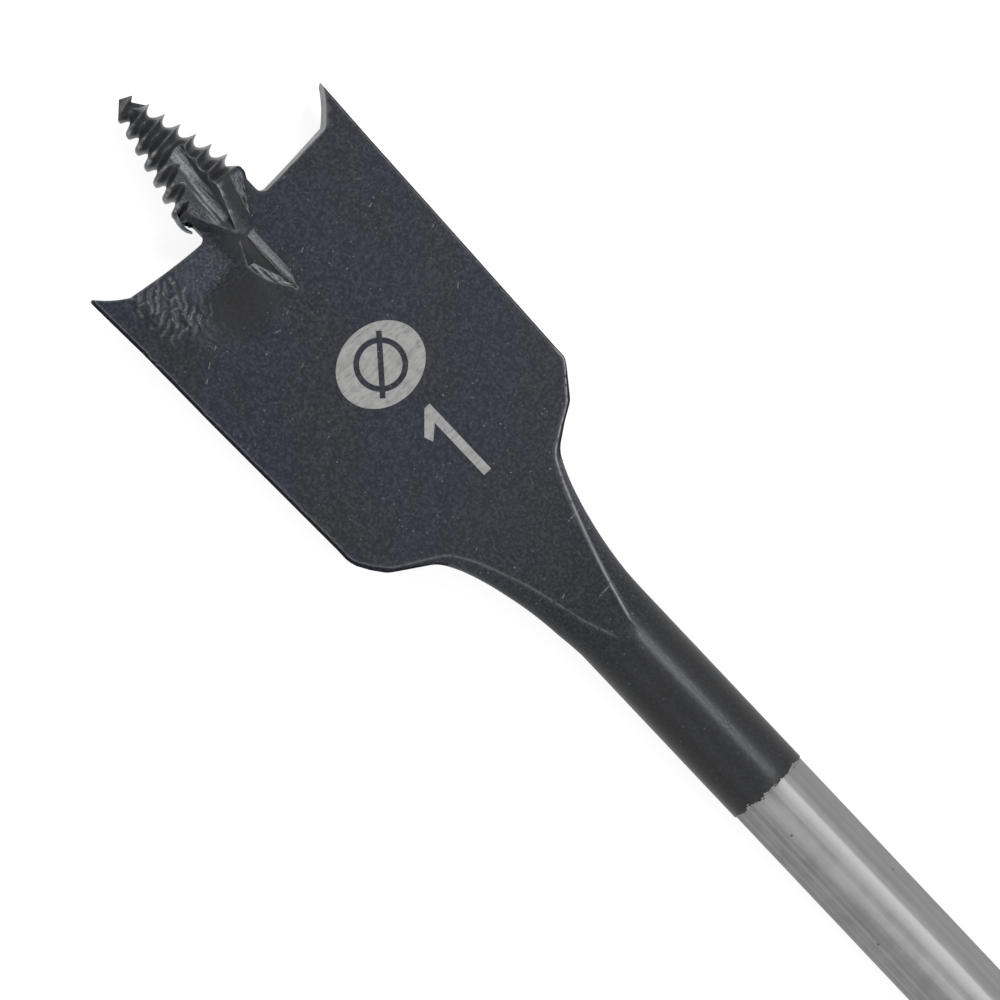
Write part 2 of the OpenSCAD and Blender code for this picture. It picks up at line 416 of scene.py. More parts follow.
@dataclass(frozen=True)
class CoatedSteel:
    """Satin black coat over forged steel, worn at the edges, with painted light and shade, and bare drawn
    steel past the coat's end.
    """

    name: str = "black_coat"
    deep: Colour = (0.026, 0.026, 0.026, 1.0)
    blue: Colour = (0.025, 0.027, 0.043, 1.0)
    black: Colour = (0.036, 0.036, 0.037, 1.0)
    # Lighter black for the thread, painted light that lifts the shade between its turns
    thread_painted_fill_black: Colour = (0.048, 0.048, 0.049, 1.0)
    dust: Colour = (0.13, 0.14, 0.16, 1.0)
    fleck: Colour = (0.19, 0.20, 0.22, 1.0)
    # Tone of the painted lit patch on the marked face
    painted_light_shade: Colour = (0.055, 0.062, 0.078, 1.0)
    worn: Colour = (0.42, 0.43, 0.44, 1.0)
    steel: Colour = (0.275, 0.275, 0.275, 1.0)
    pale_steel: Colour = (0.435, 0.435, 0.435, 1.0)
    # Tone of the painted glint lines on the hex shank
    glint_steel: Colour = (0.66, 0.66, 0.66, 1.0)
    spot: Colour = (0.06, 0.06, 0.06, 1.0)
    shine: Colour = (0.92, 0.96, 1.0, 1.0)
    blue_from: float = 8.0
    blue_full: float = 42.0
    gloom_from: float = 20.0
    gloom_full: float = 13.0
    # Places across the hex shank of its painted glint lines, the bright one on the key lamp's side
    glint_at: float = -1.0
    faint_glint_at: float = 0.95
    nick_half: float = 0.09
    nicks: Rows = (
        (26.4, -3.5, 0.8, 0.1), (20.4, -1.0, 0.7, 0.05), (22.3, 1.6, 0.2, 0.3), (29.5, 6.6, 0.3, -0.6),
        (46.0, -9.4, 0.25, 0.8), (49.8, 4.0, 0.18, 0.4), (50.8, -11.2, 0.15, 0.6), (52.4, 5.4, 0.2, 0.2),
        (53.1, 3.6, 0.35, -0.3), (53.7, 1.9, 0.16, 0.7), (54.0, 10.4, 0.2, 0.5), (54.8, 9.4, 0.25, 0.7),
        (55.5, 8.1, 0.2, 0.6), (55.4, -8.7, 0.2, 0.3), (56.5, -2.3, 0.22, 0.5), (57.6, -9.4, 0.18, -0.4),
        (58.1, 7.2, 0.2, 0.5), (58.6, 7.8, 0.28, 0.4), (61.7, -5.2, 0.14, 0.2))

    def nick(self, loom: ShaderLoom, spot: tuple[Wire, Wire, Wire], coat_end: float) -> Wire:
        """Fine cross scratches on the marked face.

        Args:
            loom: The tree that is being made.
            spot: Object coordinates in millimetres.
            coat_end: Distance of the coat's end from the driven end.

        Returns:
            1 on a scratch, 0 elsewhere.
        """
        x, y, z = spot
        lines = []
        for along, side, half, lean in self.nicks:
            off = (x - (coat_end + along) + (y - side) * lean).size()
            lines.append(off.ease(self.nick_half, 0.02) * (y - side).size().ease(half, half * 0.7))
        return reduce(Wire.most, lines) * z.above(0.0) * loom.grain(6.0, 2.0).ease(0.3, 0.55)

    def material(self, coat_end: float, thread_x: float) -> bpy.types.Material:
        """Makes the material.

        Args:
            coat_end: Distance of the coat's end from the driven end, in millimetres.
            thread_x: Distance of the thread's lower end from the driven end, in millimetres.

        Returns:
            The material.
        """
        loom = ShaderLoom.begin(self.name)
        spot = loom.along()
        x, y, _ = spot
        ragged = (loom.grain(1.3, 3.0) - 0.5) * 1.2 + (loom.grain(4.5, 2.0) - 0.5) * 0.5
        coated = (x + ragged).ease(coat_end + 0.03, coat_end + 0.09)
        streaks = 0.6 * loom.grain(1.0, 3.0, (0.03, 2.2, 2.2)) + 0.4 * loom.grain(0.5, 4.0)
        mottle = loom.grain(0.16, 3.0)
        peel = loom.grain(4.0, 4.0)
        dust = loom.dots(1.1, 0.14, 0.35).most(loom.dots(2.3, 0.2, 0.30)) * loom.grain(0.28).ease(0.42, 0.6)
        scratch = loom.grain(1.0, 1.0, (0.25, 5.5, 1.0)).ease(0.74, 0.80) * loom.grain(0.35).ease(0.52, 0.62)
        struck = loom.mark("struck")
        matt = loom.mark("matt")
        # Painted light and shade carried by the mesh: a painted lit patch above 0, painted shadow and shade
        # below 0, and the darker thread
        painted_light_shade = loom.mark("painted_light_shade")
        bluish = mottle.ease(0.15, 0.60) * x.ease(coat_end + self.blue_from, coat_end + self.blue_full)
        tone = loom.blend(bluish, self.deep, self.blue)
        # Painted light: the lit patch is mixed towards a lighter bluish tone
        tone = loom.blend(painted_light_shade.most(0.0), tone, self.painted_light_shade)
        # Blackening that joins the painted shadow and shade, the darker thread, and the neck's blacker,
        # smoother coat
        low = x.ease(coat_end + self.gloom_from, coat_end + self.gloom_full)
        painted_shade_and_black = (painted_light_shade * -1.0).most(low * 0.9)
        broken = 1.0 - 0.85 * painted_shade_and_black * loom.grain(1.7, 3.0).ease(0.58, 0.45)
        # Worn bare steel along the ridges, with painted highlight along the rims on the key lamp's side
        wear_and_glint = loom.mark("wear_and_glint") * loom.grain(2.6, 3.0).ease(0.22, 0.52) * broken
        # Painted light: the thread takes a lighter black that lifts the shade between its turns
        black = loom.blend(x.above(thread_x), self.black, self.thread_painted_fill_black)
        rough = peel.ease(0.38, 0.74) * 0.33 * (1.0 - 0.7 * painted_shade_and_black) * (1.0 - 0.6 * struck)
        # Denser pale specks where the painted lit patch lies
        rough = rough * (1.0 + 2.0 * painted_light_shade.most(0.0))
        tone = loom.blend(rough, loom.blend(painted_shade_and_black, tone, black), self.dust)
        marks = (dust * 0.85).most(scratch * 0.4).most(self.nick(loom, spot, coat_end))
        tone = loom.blend(marks * (1.0 - 0.8 * painted_shade_and_black), tone, self.fleck)
        tone = loom.blend(wear_and_glint, tone, self.worn)
        drawn = loom.blend(streaks.ease(0.32, 0.68), self.steel, self.pale_steel)
        # Painted highlights on the hex shank: a bright glint line near the key lamp's corner of its top flat,
        # a faint one near the other corner, and painted shade past the bright line
        glint_across = y + 0.3 * (streaks - 0.5)
        top, side = self.glint_at, self.faint_glint_at
        ridge = glint_across.ease(top + 1.3, top) * glint_across.ease(top - 0.2, top)
        second = glint_across.ease(side + 0.4, side + 0.2) * glint_across.ease(side - 0.6, side - 0.25)
        drawn = loom.blend((ridge * 0.9).most(second * 0.15), drawn, self.glint_steel)
        drawn = loom.blend(y.ease(top, top - 0.35) * 0.6, drawn, self.steel)
        drawn = loom.blend(loom.dots(0.55, 0.10, 0.35) * 0.8, drawn, self.spot)
        skin = loom.grain(2.4, 4.0) * 0.55 + loom.grain(7.0, 2.0) * 0.45
        satin = 0.31 + 0.16 * peel * (1.0 - painted_shade_and_black) + 0.25 * matt
        dullness = {"Factor": coated, "A": 0.44 + 0.16 * streaks, "B": satin}
        return loom.finish(
            Base_Color=loom.blend(coated, drawn, tone),
            Metallic=((1.0 - coated) * 0.2).most(wear_and_glint * 0.3),
            Roughness=loom.wire("ShaderNodeMix", "Result", dullness),
            Specular_IOR_Level=(0.34 + 0.08 * painted_shade_and_black) * (1.0 - matt),
            Specular_Tint=self.shine,
            Normal=loom.relief(skin, 0.03, 0.5),
        )


@dataclass(frozen=True)
class GroundSteel:
    """Bright ground steel of the cutting edges' clearance faces."""

    name: str = "ground_steel"
    dark: Colour = (0.40, 0.405, 0.41, 1.0)
    pale: Colour = (0.80, 0.80, 0.80, 1.0)

    def material(self) -> bpy.types.Material:
        """Makes the material.

        Returns:
            The material.
        """
        loom = ShaderLoom.begin(self.name)
        lines = loom.grain(1.0, 3.0, (0.8, 0.8, 7.0))
        smut = loom.grain(0.9, 3.0)
        return loom.finish(
            Base_Color=loom.blend(lines.ease(0.3, 0.7) * smut.ease(0.1, 0.55), self.dark, self.pale),
            Metallic=0.1,
            Roughness=0.55 + 0.2 * lines,
            Specular_IOR_Level=0.05,
            Normal=loom.relief(lines, 0.01, 0.5),
        )


@dataclass(frozen=True)
class MilledCoat:
    """Black coat over the milled flutes, with the cutter's lines showing through in a pale strip that ends in
    painted shadow towards the blade.
    """

    name: str = "milled_coat"
    dark: Colour = (0.039, 0.040, 0.042, 1.0)
    pale: Colour = (0.36, 0.385, 0.41, 1.0)
    lean: float = 0.176
    strip_start: float = 0.27
    strip_end: float = 1.4

    @classmethod
    def all_over(cls, name: str, pale: Colour) -> MilledCoat:
        """A coat whose lines show all over and not only in a strip."""
        return cls(name, pale=pale, lean=0.0, strip_start=-9.0, strip_end=9.0)

    def material(self, painted_shadow_edge: float = 0.0) -> bpy.types.Material:
        """Makes the material.

        Args:
            painted_shadow_edge: Place along the axis below which the strip is dark as painted shadow, and from
                which its lean is measured, in millimetres.

        Returns:
            The material.
        """
        loom = ShaderLoom.begin(self.name)
        x, y, z = loom.along()
        lines = loom.grain(1.0, 3.0, (0.12, 3.4, 3.4))
        grit = loom.grain(5.0, 3.0)
        across = y * z.math("SIGN", z) + (x - painted_shadow_edge) * self.lean
        far_side = (across + 0.5 * (grit - 0.5)).ease(self.strip_end + 0.2, self.strip_end)
        near_side = across.ease(self.strip_start - 0.06, self.strip_start + 0.02)
        strip = (0.3 * grit.ease(0.4, 0.6) + 0.7 * far_side) * (0.2 + 0.8 * near_side)
        # Painted shadow: the strip fades to the dark coat below this place along the axis
        shown = x.ease(painted_shadow_edge - 0.2, painted_shadow_edge + 0.2) * strip
        tone = loom.blend(lines.ease(0.33, 0.66) * grit.ease(0.05, 0.55) * shown, self.dark, self.pale)
        return loom.finish(
            Base_Color=tone,
            Roughness=0.46 + 0.2 * grit,
            Specular_IOR_Level=0.35,
            Normal=loom.relief(lines * 0.7 + grit * 0.3, 0.03, 0.5),
        )


@dataclass(frozen=True)
class EtchedSteel:
    """Matt pale grey where the coat is etched away for the marks."""

    name: str = "etched_steel"
    dull: Colour = (0.28, 0.28, 0.275, 1.0)
    clean: Colour = (0.50, 0.50, 0.495, 1.0)

    def material(self) -> bpy.types.Material:
        """Makes the material.

        Returns:
            The material.
        """
        loom = ShaderLoom.begin(self.name)
        scan = loom.grain(1.0, 2.0, (6.0, 1.2, 1.0))
        blotch = loom.grain(1.4, 4.0)
        return loom.finish(
            Base_Color=loom.blend((0.5 * scan + 0.5 * blotch).ease(0.25, 0.65), self.dull, self.clean),
            Metallic=0.35,
            Roughness=0.62 + 0.15 * blotch,
            Normal=loom.relief(scan, 0.008, 0.5),
        )


@dataclass(frozen=True)
class CoatGrit:
    """Pale tops of the small nibs in the coat."""

    name: str = "coat_grit"
    dark: Colour = (0.05, 0.053, 0.062, 1.0)
    pale: Colour = (0.26, 0.27, 0.29, 1.0)

    def material(self) -> bpy.types.Material:
        """Makes the material.

        Returns:
            The material.
        """
        loom = ShaderLoom.begin(self.name)
        return loom.finish(
            Base_Color=loom.blend(loom.grain(1.7, 2.0).ease(0.4, 0.7), self.dark, self.pale),
            Roughness=0.5,
        )


# Meshes


def make_object(name: str, mesh: bpy.types.Mesh) -> bpy.types.Object:
    """Links a mesh to the scene as an object at the origin.

    Args:
        name: The object's name.
        mesh: Its mesh, or the curve that it is drawn by.

    Returns:
        The object.
    """
    made = bpy.data.objects.new(name, mesh)
    bpy.context.scene.collection.objects.link(made)
    return made


def make_solid(
    name: str, points: np.ndarray, faces: list[tuple[int, ...]], finish: bpy.types.Material
) -> bpy.types.Object:
    """Makes a closed solid with its faces pointing outwards.

    Args:
        name: The object's name.
        points: Corners in millimetres, one row each.
        faces: Corner numbers of each face.
        finish: The material of all its faces.

    Returns:
        The new object.
    """
    mesh = bpy.data.meshes.new(name)
    mesh.from_pydata((points * MM).tolist(), [], faces)
    mesh.materials.append(finish)
    turn_outwards(mesh)
    return make_object(name, mesh)


@contextmanager
def editing(mesh: bpy.types.Mesh) -> Iterator[bmesh.types.BMesh]:
    """Opens a mesh for edits and writes them back.

    Args:
        mesh: The mesh.

    Yields:
        The opened mesh.
    """
    work = bmesh.new()
    work.from_mesh(mesh)
    yield work
    work.to_mesh(mesh)
    work.free()


def turn_outwards(mesh: bpy.types.Mesh) -> None:
    """Points all faces of a closed mesh outwards."""
    with editing(mesh) as work:
        bmesh.ops.recalc_face_normals(work, faces=work.faces)


def ring_at(x: float, y: np.ndarray, z: np.ndarray) -> np.ndarray:
    """Points of one ring across the axis."""
    return np.column_stack([np.full(len(y), x), y, z])


def ring_solid(name: str, rings: np.ndarray, finish: bpy.types.Material) -> bpy.types.Object:
    """Skins a row of rings and closes its two ends with flat faces.

    Args:
        name: The object's name.
        rings: Corners in millimetres, as rings by points by three.
        finish: The material.

    Returns:
        The closed solid.
    """
    rows, count, _ = rings.shape
    faces = [
        (k * count + i, k * count + (i + 1) % count, (k + 1) * count + (i + 1) % count, (k + 1) * count + i)
        for k in range(rows - 1)
        for i in range(count)
    ]
    faces.append(tuple(range(count)))
    faces.append(tuple(range((rows - 1) * count, rows * count)))
    return make_solid(name, rings.reshape(-1, 3), faces, finish)


def half_turn(solid: bpy.types.Object) -> bpy.types.Object:
    """Copies a solid half a turn about the tool axis.

    Args:
        solid: The solid.

    Returns:
        The copy.
    """
    mesh = solid.data.copy()
    mesh.transform(Matrix.Rotation(math.pi, 4, "X"))
    return make_object(f"{solid.name}_far", mesh)


def settle(piece: bpy.types.Object) -> None:
    """Turns a piece's modifiers into a plain mesh and removes them.

    Args:
        piece: The piece.
    """
    graph = bpy.context.evaluated_depsgraph_get()
    mesh = bpy.data.meshes.new_from_object(piece.evaluated_get(graph))
    old = piece.data
    piece.modifiers.clear()
    piece.data = mesh
    bpy.data.meshes.remove(old)


def combine(solid: bpy.types.Object, tools: list[bpy.types.Object], how: How) -> None:
    """Combines a solid with others, which are used up.

    Args:
        solid: The solid that is kept.
        tools: The solids that are added or cut away.
        how: Whether they are added or cut away.
    """
    for tool in tools:
        change = solid.modifiers.new("combine", "BOOLEAN")
        change.operation = how.value
        change.solver = "MANIFOLD"
        change.material_mode = "TRANSFER"
        change.object = tool
    settle(solid)
    for tool in tools:
        bpy.data.objects.remove(tool)


def bend(start: np.ndarray, pull: np.ndarray, end: np.ndarray, steps: int) -> np.ndarray:
    """Points of a curve from start to end that is pulled towards a third point."""
    t = np.linspace(0.0, 1.0, steps + 1)[:, None]
    return (1 - t) ** 2 * start + 2 * t * (1 - t) * pull + t**2 * end


def spread(marks: list[tuple[float, float]], last: float) -> np.ndarray:
    """Places along a line.

    Args:
        marks: Start and largest step of each stretch, in order.
        last: End of the last stretch.

    Returns:
        The places, from the first start to the last end.
    """
    ends = [start for start, _ in marks[1:]] + [last]
    runs = [
        np.linspace(start, end, max(2, math.ceil(abs(end - start) / step) + 1))[:-1]
        for (start, step), end in zip(marks, ends)
    ]
    return np.concatenate([*runs, [last]])


def look_up(rows: Rows, place: float) -> float:
    """Value of a table at a place, on straight lines between its rows."""
    places, values = zip(*rows)
    return float(np.interp(place, places, values))


def dress_faces(solid: bpy.types.Object, finish: bpy.types.Material, faces: slice) -> None:
    """Gives some faces of a solid a second material.

    Args:
        solid: The solid.
        finish: The second material.
        faces: Which of its faces take it.
    """
    solid.data.materials.append(finish)
    for face in solid.data.polygons[faces]:
        face.material_index = 1


# The bit


@dataclass(frozen=True)
class Bar:
    """Sizes that the whole bit shares."""

    length: float
    neck_r: float = 3.575
    coat_len: float = 75.3
    half_t: float = 1.4
    half_w: float = 12.7
    lap: float = 2.0
    edge_at: float = 12.9
    thread_end: float = 10.4

    @classmethod
    def from_frame(cls) -> Bar:
        """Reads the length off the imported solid."""
        low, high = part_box(NODE)
        return cls(length=(high.x - low.x) / MM)

    @property
    def hex_len(self) -> float:
        """Length of the bare hex shank, up to the end of the coated neck."""
        return self.length - self.coat_len

    def from_point(self, distance: float) -> float:
        """Place along the axis at a distance from the point of the lead screw."""
        return self.length - distance


@dataclass
class HexShank:
    """Drawn hex shank with round corners, a bevelled end and a retaining groove."""

    bar: Bar
    across_flats: float = 6.35
    corner_r: float = 1.27
    end_bevel: float = 0.7
    groove_at: float = 16.0
    groove_depth: float = 0.95
    groove_r: float = 2.4
    corner_steps: int = 8
    flat_steps: int = 3

    @staticmethod
    def spoke(angle: float) -> np.ndarray:
        """Point at an angle on a circle of radius 1."""
        return np.array([math.cos(angle), math.sin(angle)])

    def section(self) -> np.ndarray:
        """Corner and flat points of the section.

        Returns:
            Points as height and place across.
        """
        centre = (self.across_flats / 2 - self.corner_r) / math.cos(math.pi / 6)
        points = []
        half = math.pi / 6
        for k in range(6):
            a = 2 * half * k + half
            for b in np.linspace(a - half, a + half, self.corner_steps + 1):
                points.append(centre * self.spoke(a) + self.corner_r * self.spoke(b))
            start = points[-1]
            end = centre * self.spoke(a + 2 * half) + self.corner_r * self.spoke(a + half)
            points += [start + (end - start) * i / self.flat_steps for i in range(1, self.flat_steps)]
        return np.array(points)

    def build(self, finish: bpy.types.Material) -> bpy.types.Object:
        """Makes the shank, which runs into the neck at its upper end.

        Args:
            finish: The material.

        Returns:
            The shank.
        """
        section = self.section()
        reach = np.hypot(section[:, 0], section[:, 1])
        largest = reach.max()
        centre_r = largest - self.groove_depth + self.groove_r
        half = math.sqrt(self.groove_r**2 - (centre_r - largest) ** 2)
        places = spread(
            [(0.0, 0.1), (self.end_bevel, 2.0), (self.groove_at - half, 0.08), (self.groove_at + half, 1.5)],
            self.bar.hex_len + self.bar.lap,
        )
        rings = []
        for x in places:
            cap = largest - max(0.0, self.end_bevel - x)
            off = abs(x - self.groove_at)
            if off < half:
                cap = min(cap, centre_r - math.sqrt(self.groove_r**2 - off**2))
            scale = np.minimum(reach, cap) / reach
            rings.append(ring_at(x, section[:, 1] * scale, section[:, 0] * scale))
        return ring_solid("hex_shank", np.array(rings), finish)


@dataclass
class Blade:
    """Flat blade with bevelled shoulders that sweeps down to the round neck."""

    bar: Bar
    side_end: float = 39.3
    corner_len: float = 2.8
    corner_w: float = 1.85
    shoulder_len: float = 2.9
    sweep_len: float = 12.4
    sweep_pull: float = 0.4
    root_flare: float = 2.68
    root_fillet: float = 0.75
    tongue_run: float = 0.7
    tongue_half_w: float = 0.86
    neck_round: float = 0.18
    flat_crown: float = 1.3
    crown_run: float = 1.4
    side_band: float = 0.22
    shoulder_band: float = 0.65
    back_taper: float = math.radians(1.8)
    spur_at: float = 10.15
    scoop_r: float = 14.0
    scoop_offset: float = 5.6
    scoop_depth: float = 0.6
    scoop_len: float = 9.0
    scoop_soft: float = 0.22
    wrinkle_h: float = 0.085
    wrinkle_lean: float = math.radians(-42.0)
    wrinkles_along: float = 0.75
    wrinkles_across: float = 1.45
    wave_depth: float = 0.012
    waves_per_mm: float = 0.35
    rim_fade: float = 0.6
    side_ragged: float = 0.018
    ragged_per_mm: float = 1.1
    burr_from: float = 0.3
    corner_soft: float = 0.35
    thread_gloom: float = -0.8
    arc_steps: int = 16
    sweep_steps: int = 60
    fillet_steps: int = 14
    corner_steps: int = 8
    rim_step: float = 0.05
    rim_run: float = 1.0
    rim_shares: tuple[float, ...] = (0.004, 0.012, 0.03)
    struck_along: Rows = ((11.4, 0.3), (12.6, 0.5), (13.8, 1.0), (16.6, 1.0), (18.2, 0.3), (22.5, 0.0))
    struck_across: Rows = ((4.6, 0.0), (6.6, 0.7), (7.4, 1.0), (10.2, 1.0), (11.6, 0.0))
    drift: Rows = (
        (11.0, 0.06, -0.08), (16.0, 0.0, -0.1), (24.0, 0.12, -0.06), (38.0, 0.15, -0.02), (39.3, 0.2, 0.0),
        (40.0, 0.42, 0.0), (41.0, 0.5, -0.1), (42.0, 0.4, -0.2), (43.0, 0.35, -0.35), (44.0, 0.25, -0.25),
        (46.0, 0.2, -0.15), (48.0, 0.26, -0.04), (50.0, 0.3, 0.02), (52.0, 0.26, 0.02), (55.0, 0.2, -0.02),
        (57.5, 0.0, 0.0))
    pinch: Rows = (
        (41.0, 0.0), (43.0, 0.35), (46.5, 0.58), (50.0, 0.52), (53.0, 0.15), (55.5, -0.12), (57.5, 0.0))
    # Painted light and shade on the marked face: place from the point, place across, length, width and amount;
    # above 0 a painted lit patch, below 0 painted shadow cast by the lead screw and painted shade on its cone
    painted_light_shade_patches: Rows = (
        (14.5, 4.4, 1.9, 2.5, 0.75), (18.7, 3.8, 2.3, 3.0, -1.0), (14.6, 1.2, 1.7, 1.2, -1.0),
        (12.0, -1.2, 1.5, 1.5, -1.0))
    burrs: Rows = (
        (16.9, 0.13, 0.22), (17.6, 0.10, 0.16), (23.2, 0.07, 0.3), (28.3, 0.06, 0.25), (34.0, 0.05, 0.4))

    def __post_init__(self) -> None:
        """Works out the places along the axis."""
        at = self.bar.from_point
        self.side_x = at(self.side_end)
        self.corner_x = self.side_x - self.corner_len
        self.root_x = self.corner_x - self.shoulder_len
        self.neck_x = self.root_x - self.sweep_len
        self.tongue_x = self.neck_x - self.tongue_run
        self.ramp_x = self.root_x + self.root_fillet
        self.top_x = at(self.spur_at) + self.bar.lap

    def straight_half(self, x: float) -> float:
        """Half width of the tapered sides."""
        return self.bar.half_w - (self.bar.from_point(self.spur_at) - x) * math.tan(self.back_taper)

    def outline(self) -> np.ndarray:
        """Outline of the blade from the neck to above the spurs.

        Returns:
            Points as half width and place along the axis.
        """
        neck = np.array([self.bar.neck_r, self.neck_x])
        root = np.array([self.bar.neck_r + self.root_flare, self.root_x])
        pull = np.array([self.bar.neck_r, self.root_x - self.sweep_len * self.sweep_pull])
        down = (pull - root) / np.linalg.norm(pull - root)
        corner = np.array([self.straight_half(self.side_x) - self.corner_w, self.corner_x])
        fillet_pull = root - self.root_fillet * down
        out = (corner - fillet_pull) / np.linalg.norm(corner - fillet_pull)
        side = np.array([self.straight_half(self.side_x), self.side_x])
        soft = self.corner_soft
        to_corner = (corner - side) / np.linalg.norm(corner - side)
        up = np.array([math.tan(self.back_taper), 1.0])
        return np.concatenate([
            bend(neck, pull, root, self.sweep_steps),
            bend(root, fillet_pull, fillet_pull + self.root_fillet * out, self.fillet_steps)[1:],
            bend(corner - soft * out, corner, corner - soft * to_corner, self.corner_steps),
            bend(side + soft * to_corner, side, side + soft * up, self.corner_steps),
            [[self.straight_half(self.top_x), self.top_x]],
        ])

    def places(self) -> np.ndarray:
        """Places of the rings along the axis.

        Returns:
            The places, from the neck's lower end to above the spurs.
        """
        at = self.bar.from_point
        return spread(
            [
                (self.bar.hex_len, 0.06),
                (self.bar.hex_len + self.neck_round, 0.9),
                (self.tongue_x - self.crown_run, 0.2),
                (self.tongue_x, 0.35),
                (self.root_x, 0.15),
                (self.corner_x - 0.6, 0.1),
                (self.side_x + 0.5, 0.45),
                (at(21.0), 0.12),
                (at(17.6), 0.10),
                (at(11.6), 0.20),
            ],
            self.top_x,
        )

    def shares(self) -> np.ndarray:
        """Places of the lengthwise lines across the marked face, closest where it is wrinkled.

        Returns:
            The places as shares of the half width, from -1 to 1.
        """
        inner = 1 - self.rim_shares[-1]
        middle = spread([(-inner, 0.06), (-0.07, 0.009), (0.175, 0.04), (0.40, 0.009), (0.93, 0.03)], inner)
        rim = 1 - np.array(self.rim_shares[:-1])
        return np.concatenate([-rim, middle, rim[::-1]])

    def side_turn(self, turn: float) -> np.ndarray:
        """Angles of a side's points, closest beside the two faces.

        Args:
            turn: Angle of the side's last point.

        Returns:
            The angles, from one face to the other.
        """
        rim = np.array(self.rim_shares)
        middle = np.linspace(-0.9, 0.9, self.arc_steps + 1)
        return turn * np.concatenate([[-1.0], rim - 1, middle, 1 - rim[::-1], [1.0]])

    def hollow(self, x: np.ndarray, y: np.ndarray) -> np.ndarray:
        """Height of the chip scoop's surface over the marked face's left half.

        Args:
            x: Place along the axis.
            y: Place across the face.

        Returns:
            The height over the tool axis.
        """
        tilt = math.atan(self.scoop_depth / self.scoop_len)
        base_x = self.bar.from_point(self.bar.edge_at) + self.scoop_r * math.sin(tilt)
        base_z = self.bar.half_t - self.scoop_depth + self.scoop_r * math.cos(tilt)
        drop = np.sqrt(np.maximum(self.scoop_r**2 - (y - self.scoop_offset) ** 2, 0.0))
        return base_z - (drop + (x - base_x) * math.sin(tilt)) / math.cos(tilt)

    def soft_least(self, face: float, hollow: float) -> float:
        """The lower of the face and the scoop's surface, rounded where they meet."""
        over = max(0.0, 1.0 - abs(face - hollow) / self.scoop_soft)
        return min(face, hollow) - over**2 * self.scoop_soft / 4

    def wrinkles(self, x: float, y: float) -> tuple[float, float]:
        """Wrinkled relief of the struck corner beside the cutting edge.

        Args:
            x: Place along the axis.
            y: Place across the marked face.

        Returns:
            The relief in millimetres, and how strongly the face is struck there, from 0 to 1.
        """
        struck = look_up(self.struck_along, self.bar.length - x) * look_up(self.struck_across, y)
        if struck <= 0.0:
            return 0.0, 0.0
        c, d = math.cos(self.wrinkle_lean), math.sin(self.wrinkle_lean)
        along = (x * c + y * d) * self.wrinkles_along
        across = (y * c - x * d) * self.wrinkles_across
        broad = noise.noise(Vector((along, across, 3.1)))
        fold = broad + 0.35 * noise.noise(Vector((2.3 * along, 2.3 * across, 7.7)))
        ridge = max(0.0, 1.0 - 3.0 * abs(fold)) ** 1.5
        return struck * self.wrinkle_h * (ridge + 0.5 * fold - 0.3), struck

    def painted_light_shade(self, x: float, y: float) -> float:
        """How far the coat of the marked face is painted lighter in a lit patch, painted darker in shadow and
        shade, and blacker on the thread.

        Args:
            x: Place along the axis.
            y: Place across the face.

        Returns:
            -1 for the deepest painted shade to 1 for the brightest painted light.
        """
        s = self.bar.length - x
        if s < self.bar.thread_end:
            return self.thread_gloom
        total = 0.0
        for at, side, long, wide, much in self.painted_light_shade_patches:
            total += much * max(0.0, min(1.0, 2.0 - 1.5 * math.hypot((s - at) / long, (y - side) / wide)))
        return max(-1.0, min(1.0, total))

    def rings(self) -> np.ndarray:
        """All rings of the blade and the neck.

        Returns:
            Rings by points by three.
        """
        outline = self.outline()
        shares = self.shares()
        rings = []
        for x in self.places():
            on_neck = x < self.tongue_x - TINY
            rings.append(self.neck_ring(x, shares) if on_neck else self.blade_ring(x, shares, outline))
        return np.array(rings)

    def neck_ring(self, x: float, shares: np.ndarray) -> np.ndarray:
        """One ring of the round neck, whose lower rim is rounded off.

        Args:
            x: Place along the axis.
            shares: Places of the lengthwise lines across a face.

        Returns:
            The ring's points.
        """
        off = min(self.neck_round, x - self.bar.hex_len)
        r = self.bar.neck_r - (self.neck_round - math.sqrt(self.neck_round**2 - (self.neck_round - off) ** 2))
        turn = math.acos(self.tongue_half_w / self.bar.neck_r)
        a = self.side_turn(turn)
        flat_y = r * math.cos(turn) * shares
        crown = self.flat_crown * min(1.0, (self.tongue_x - x) / self.crown_run)
        flat_z = r * math.sin(turn) * (1 - crown) + np.sqrt(r**2 - flat_y**2) * crown
        return self.lay(x, r * np.cos(a), r * np.sin(a), flat_y, flat_z)

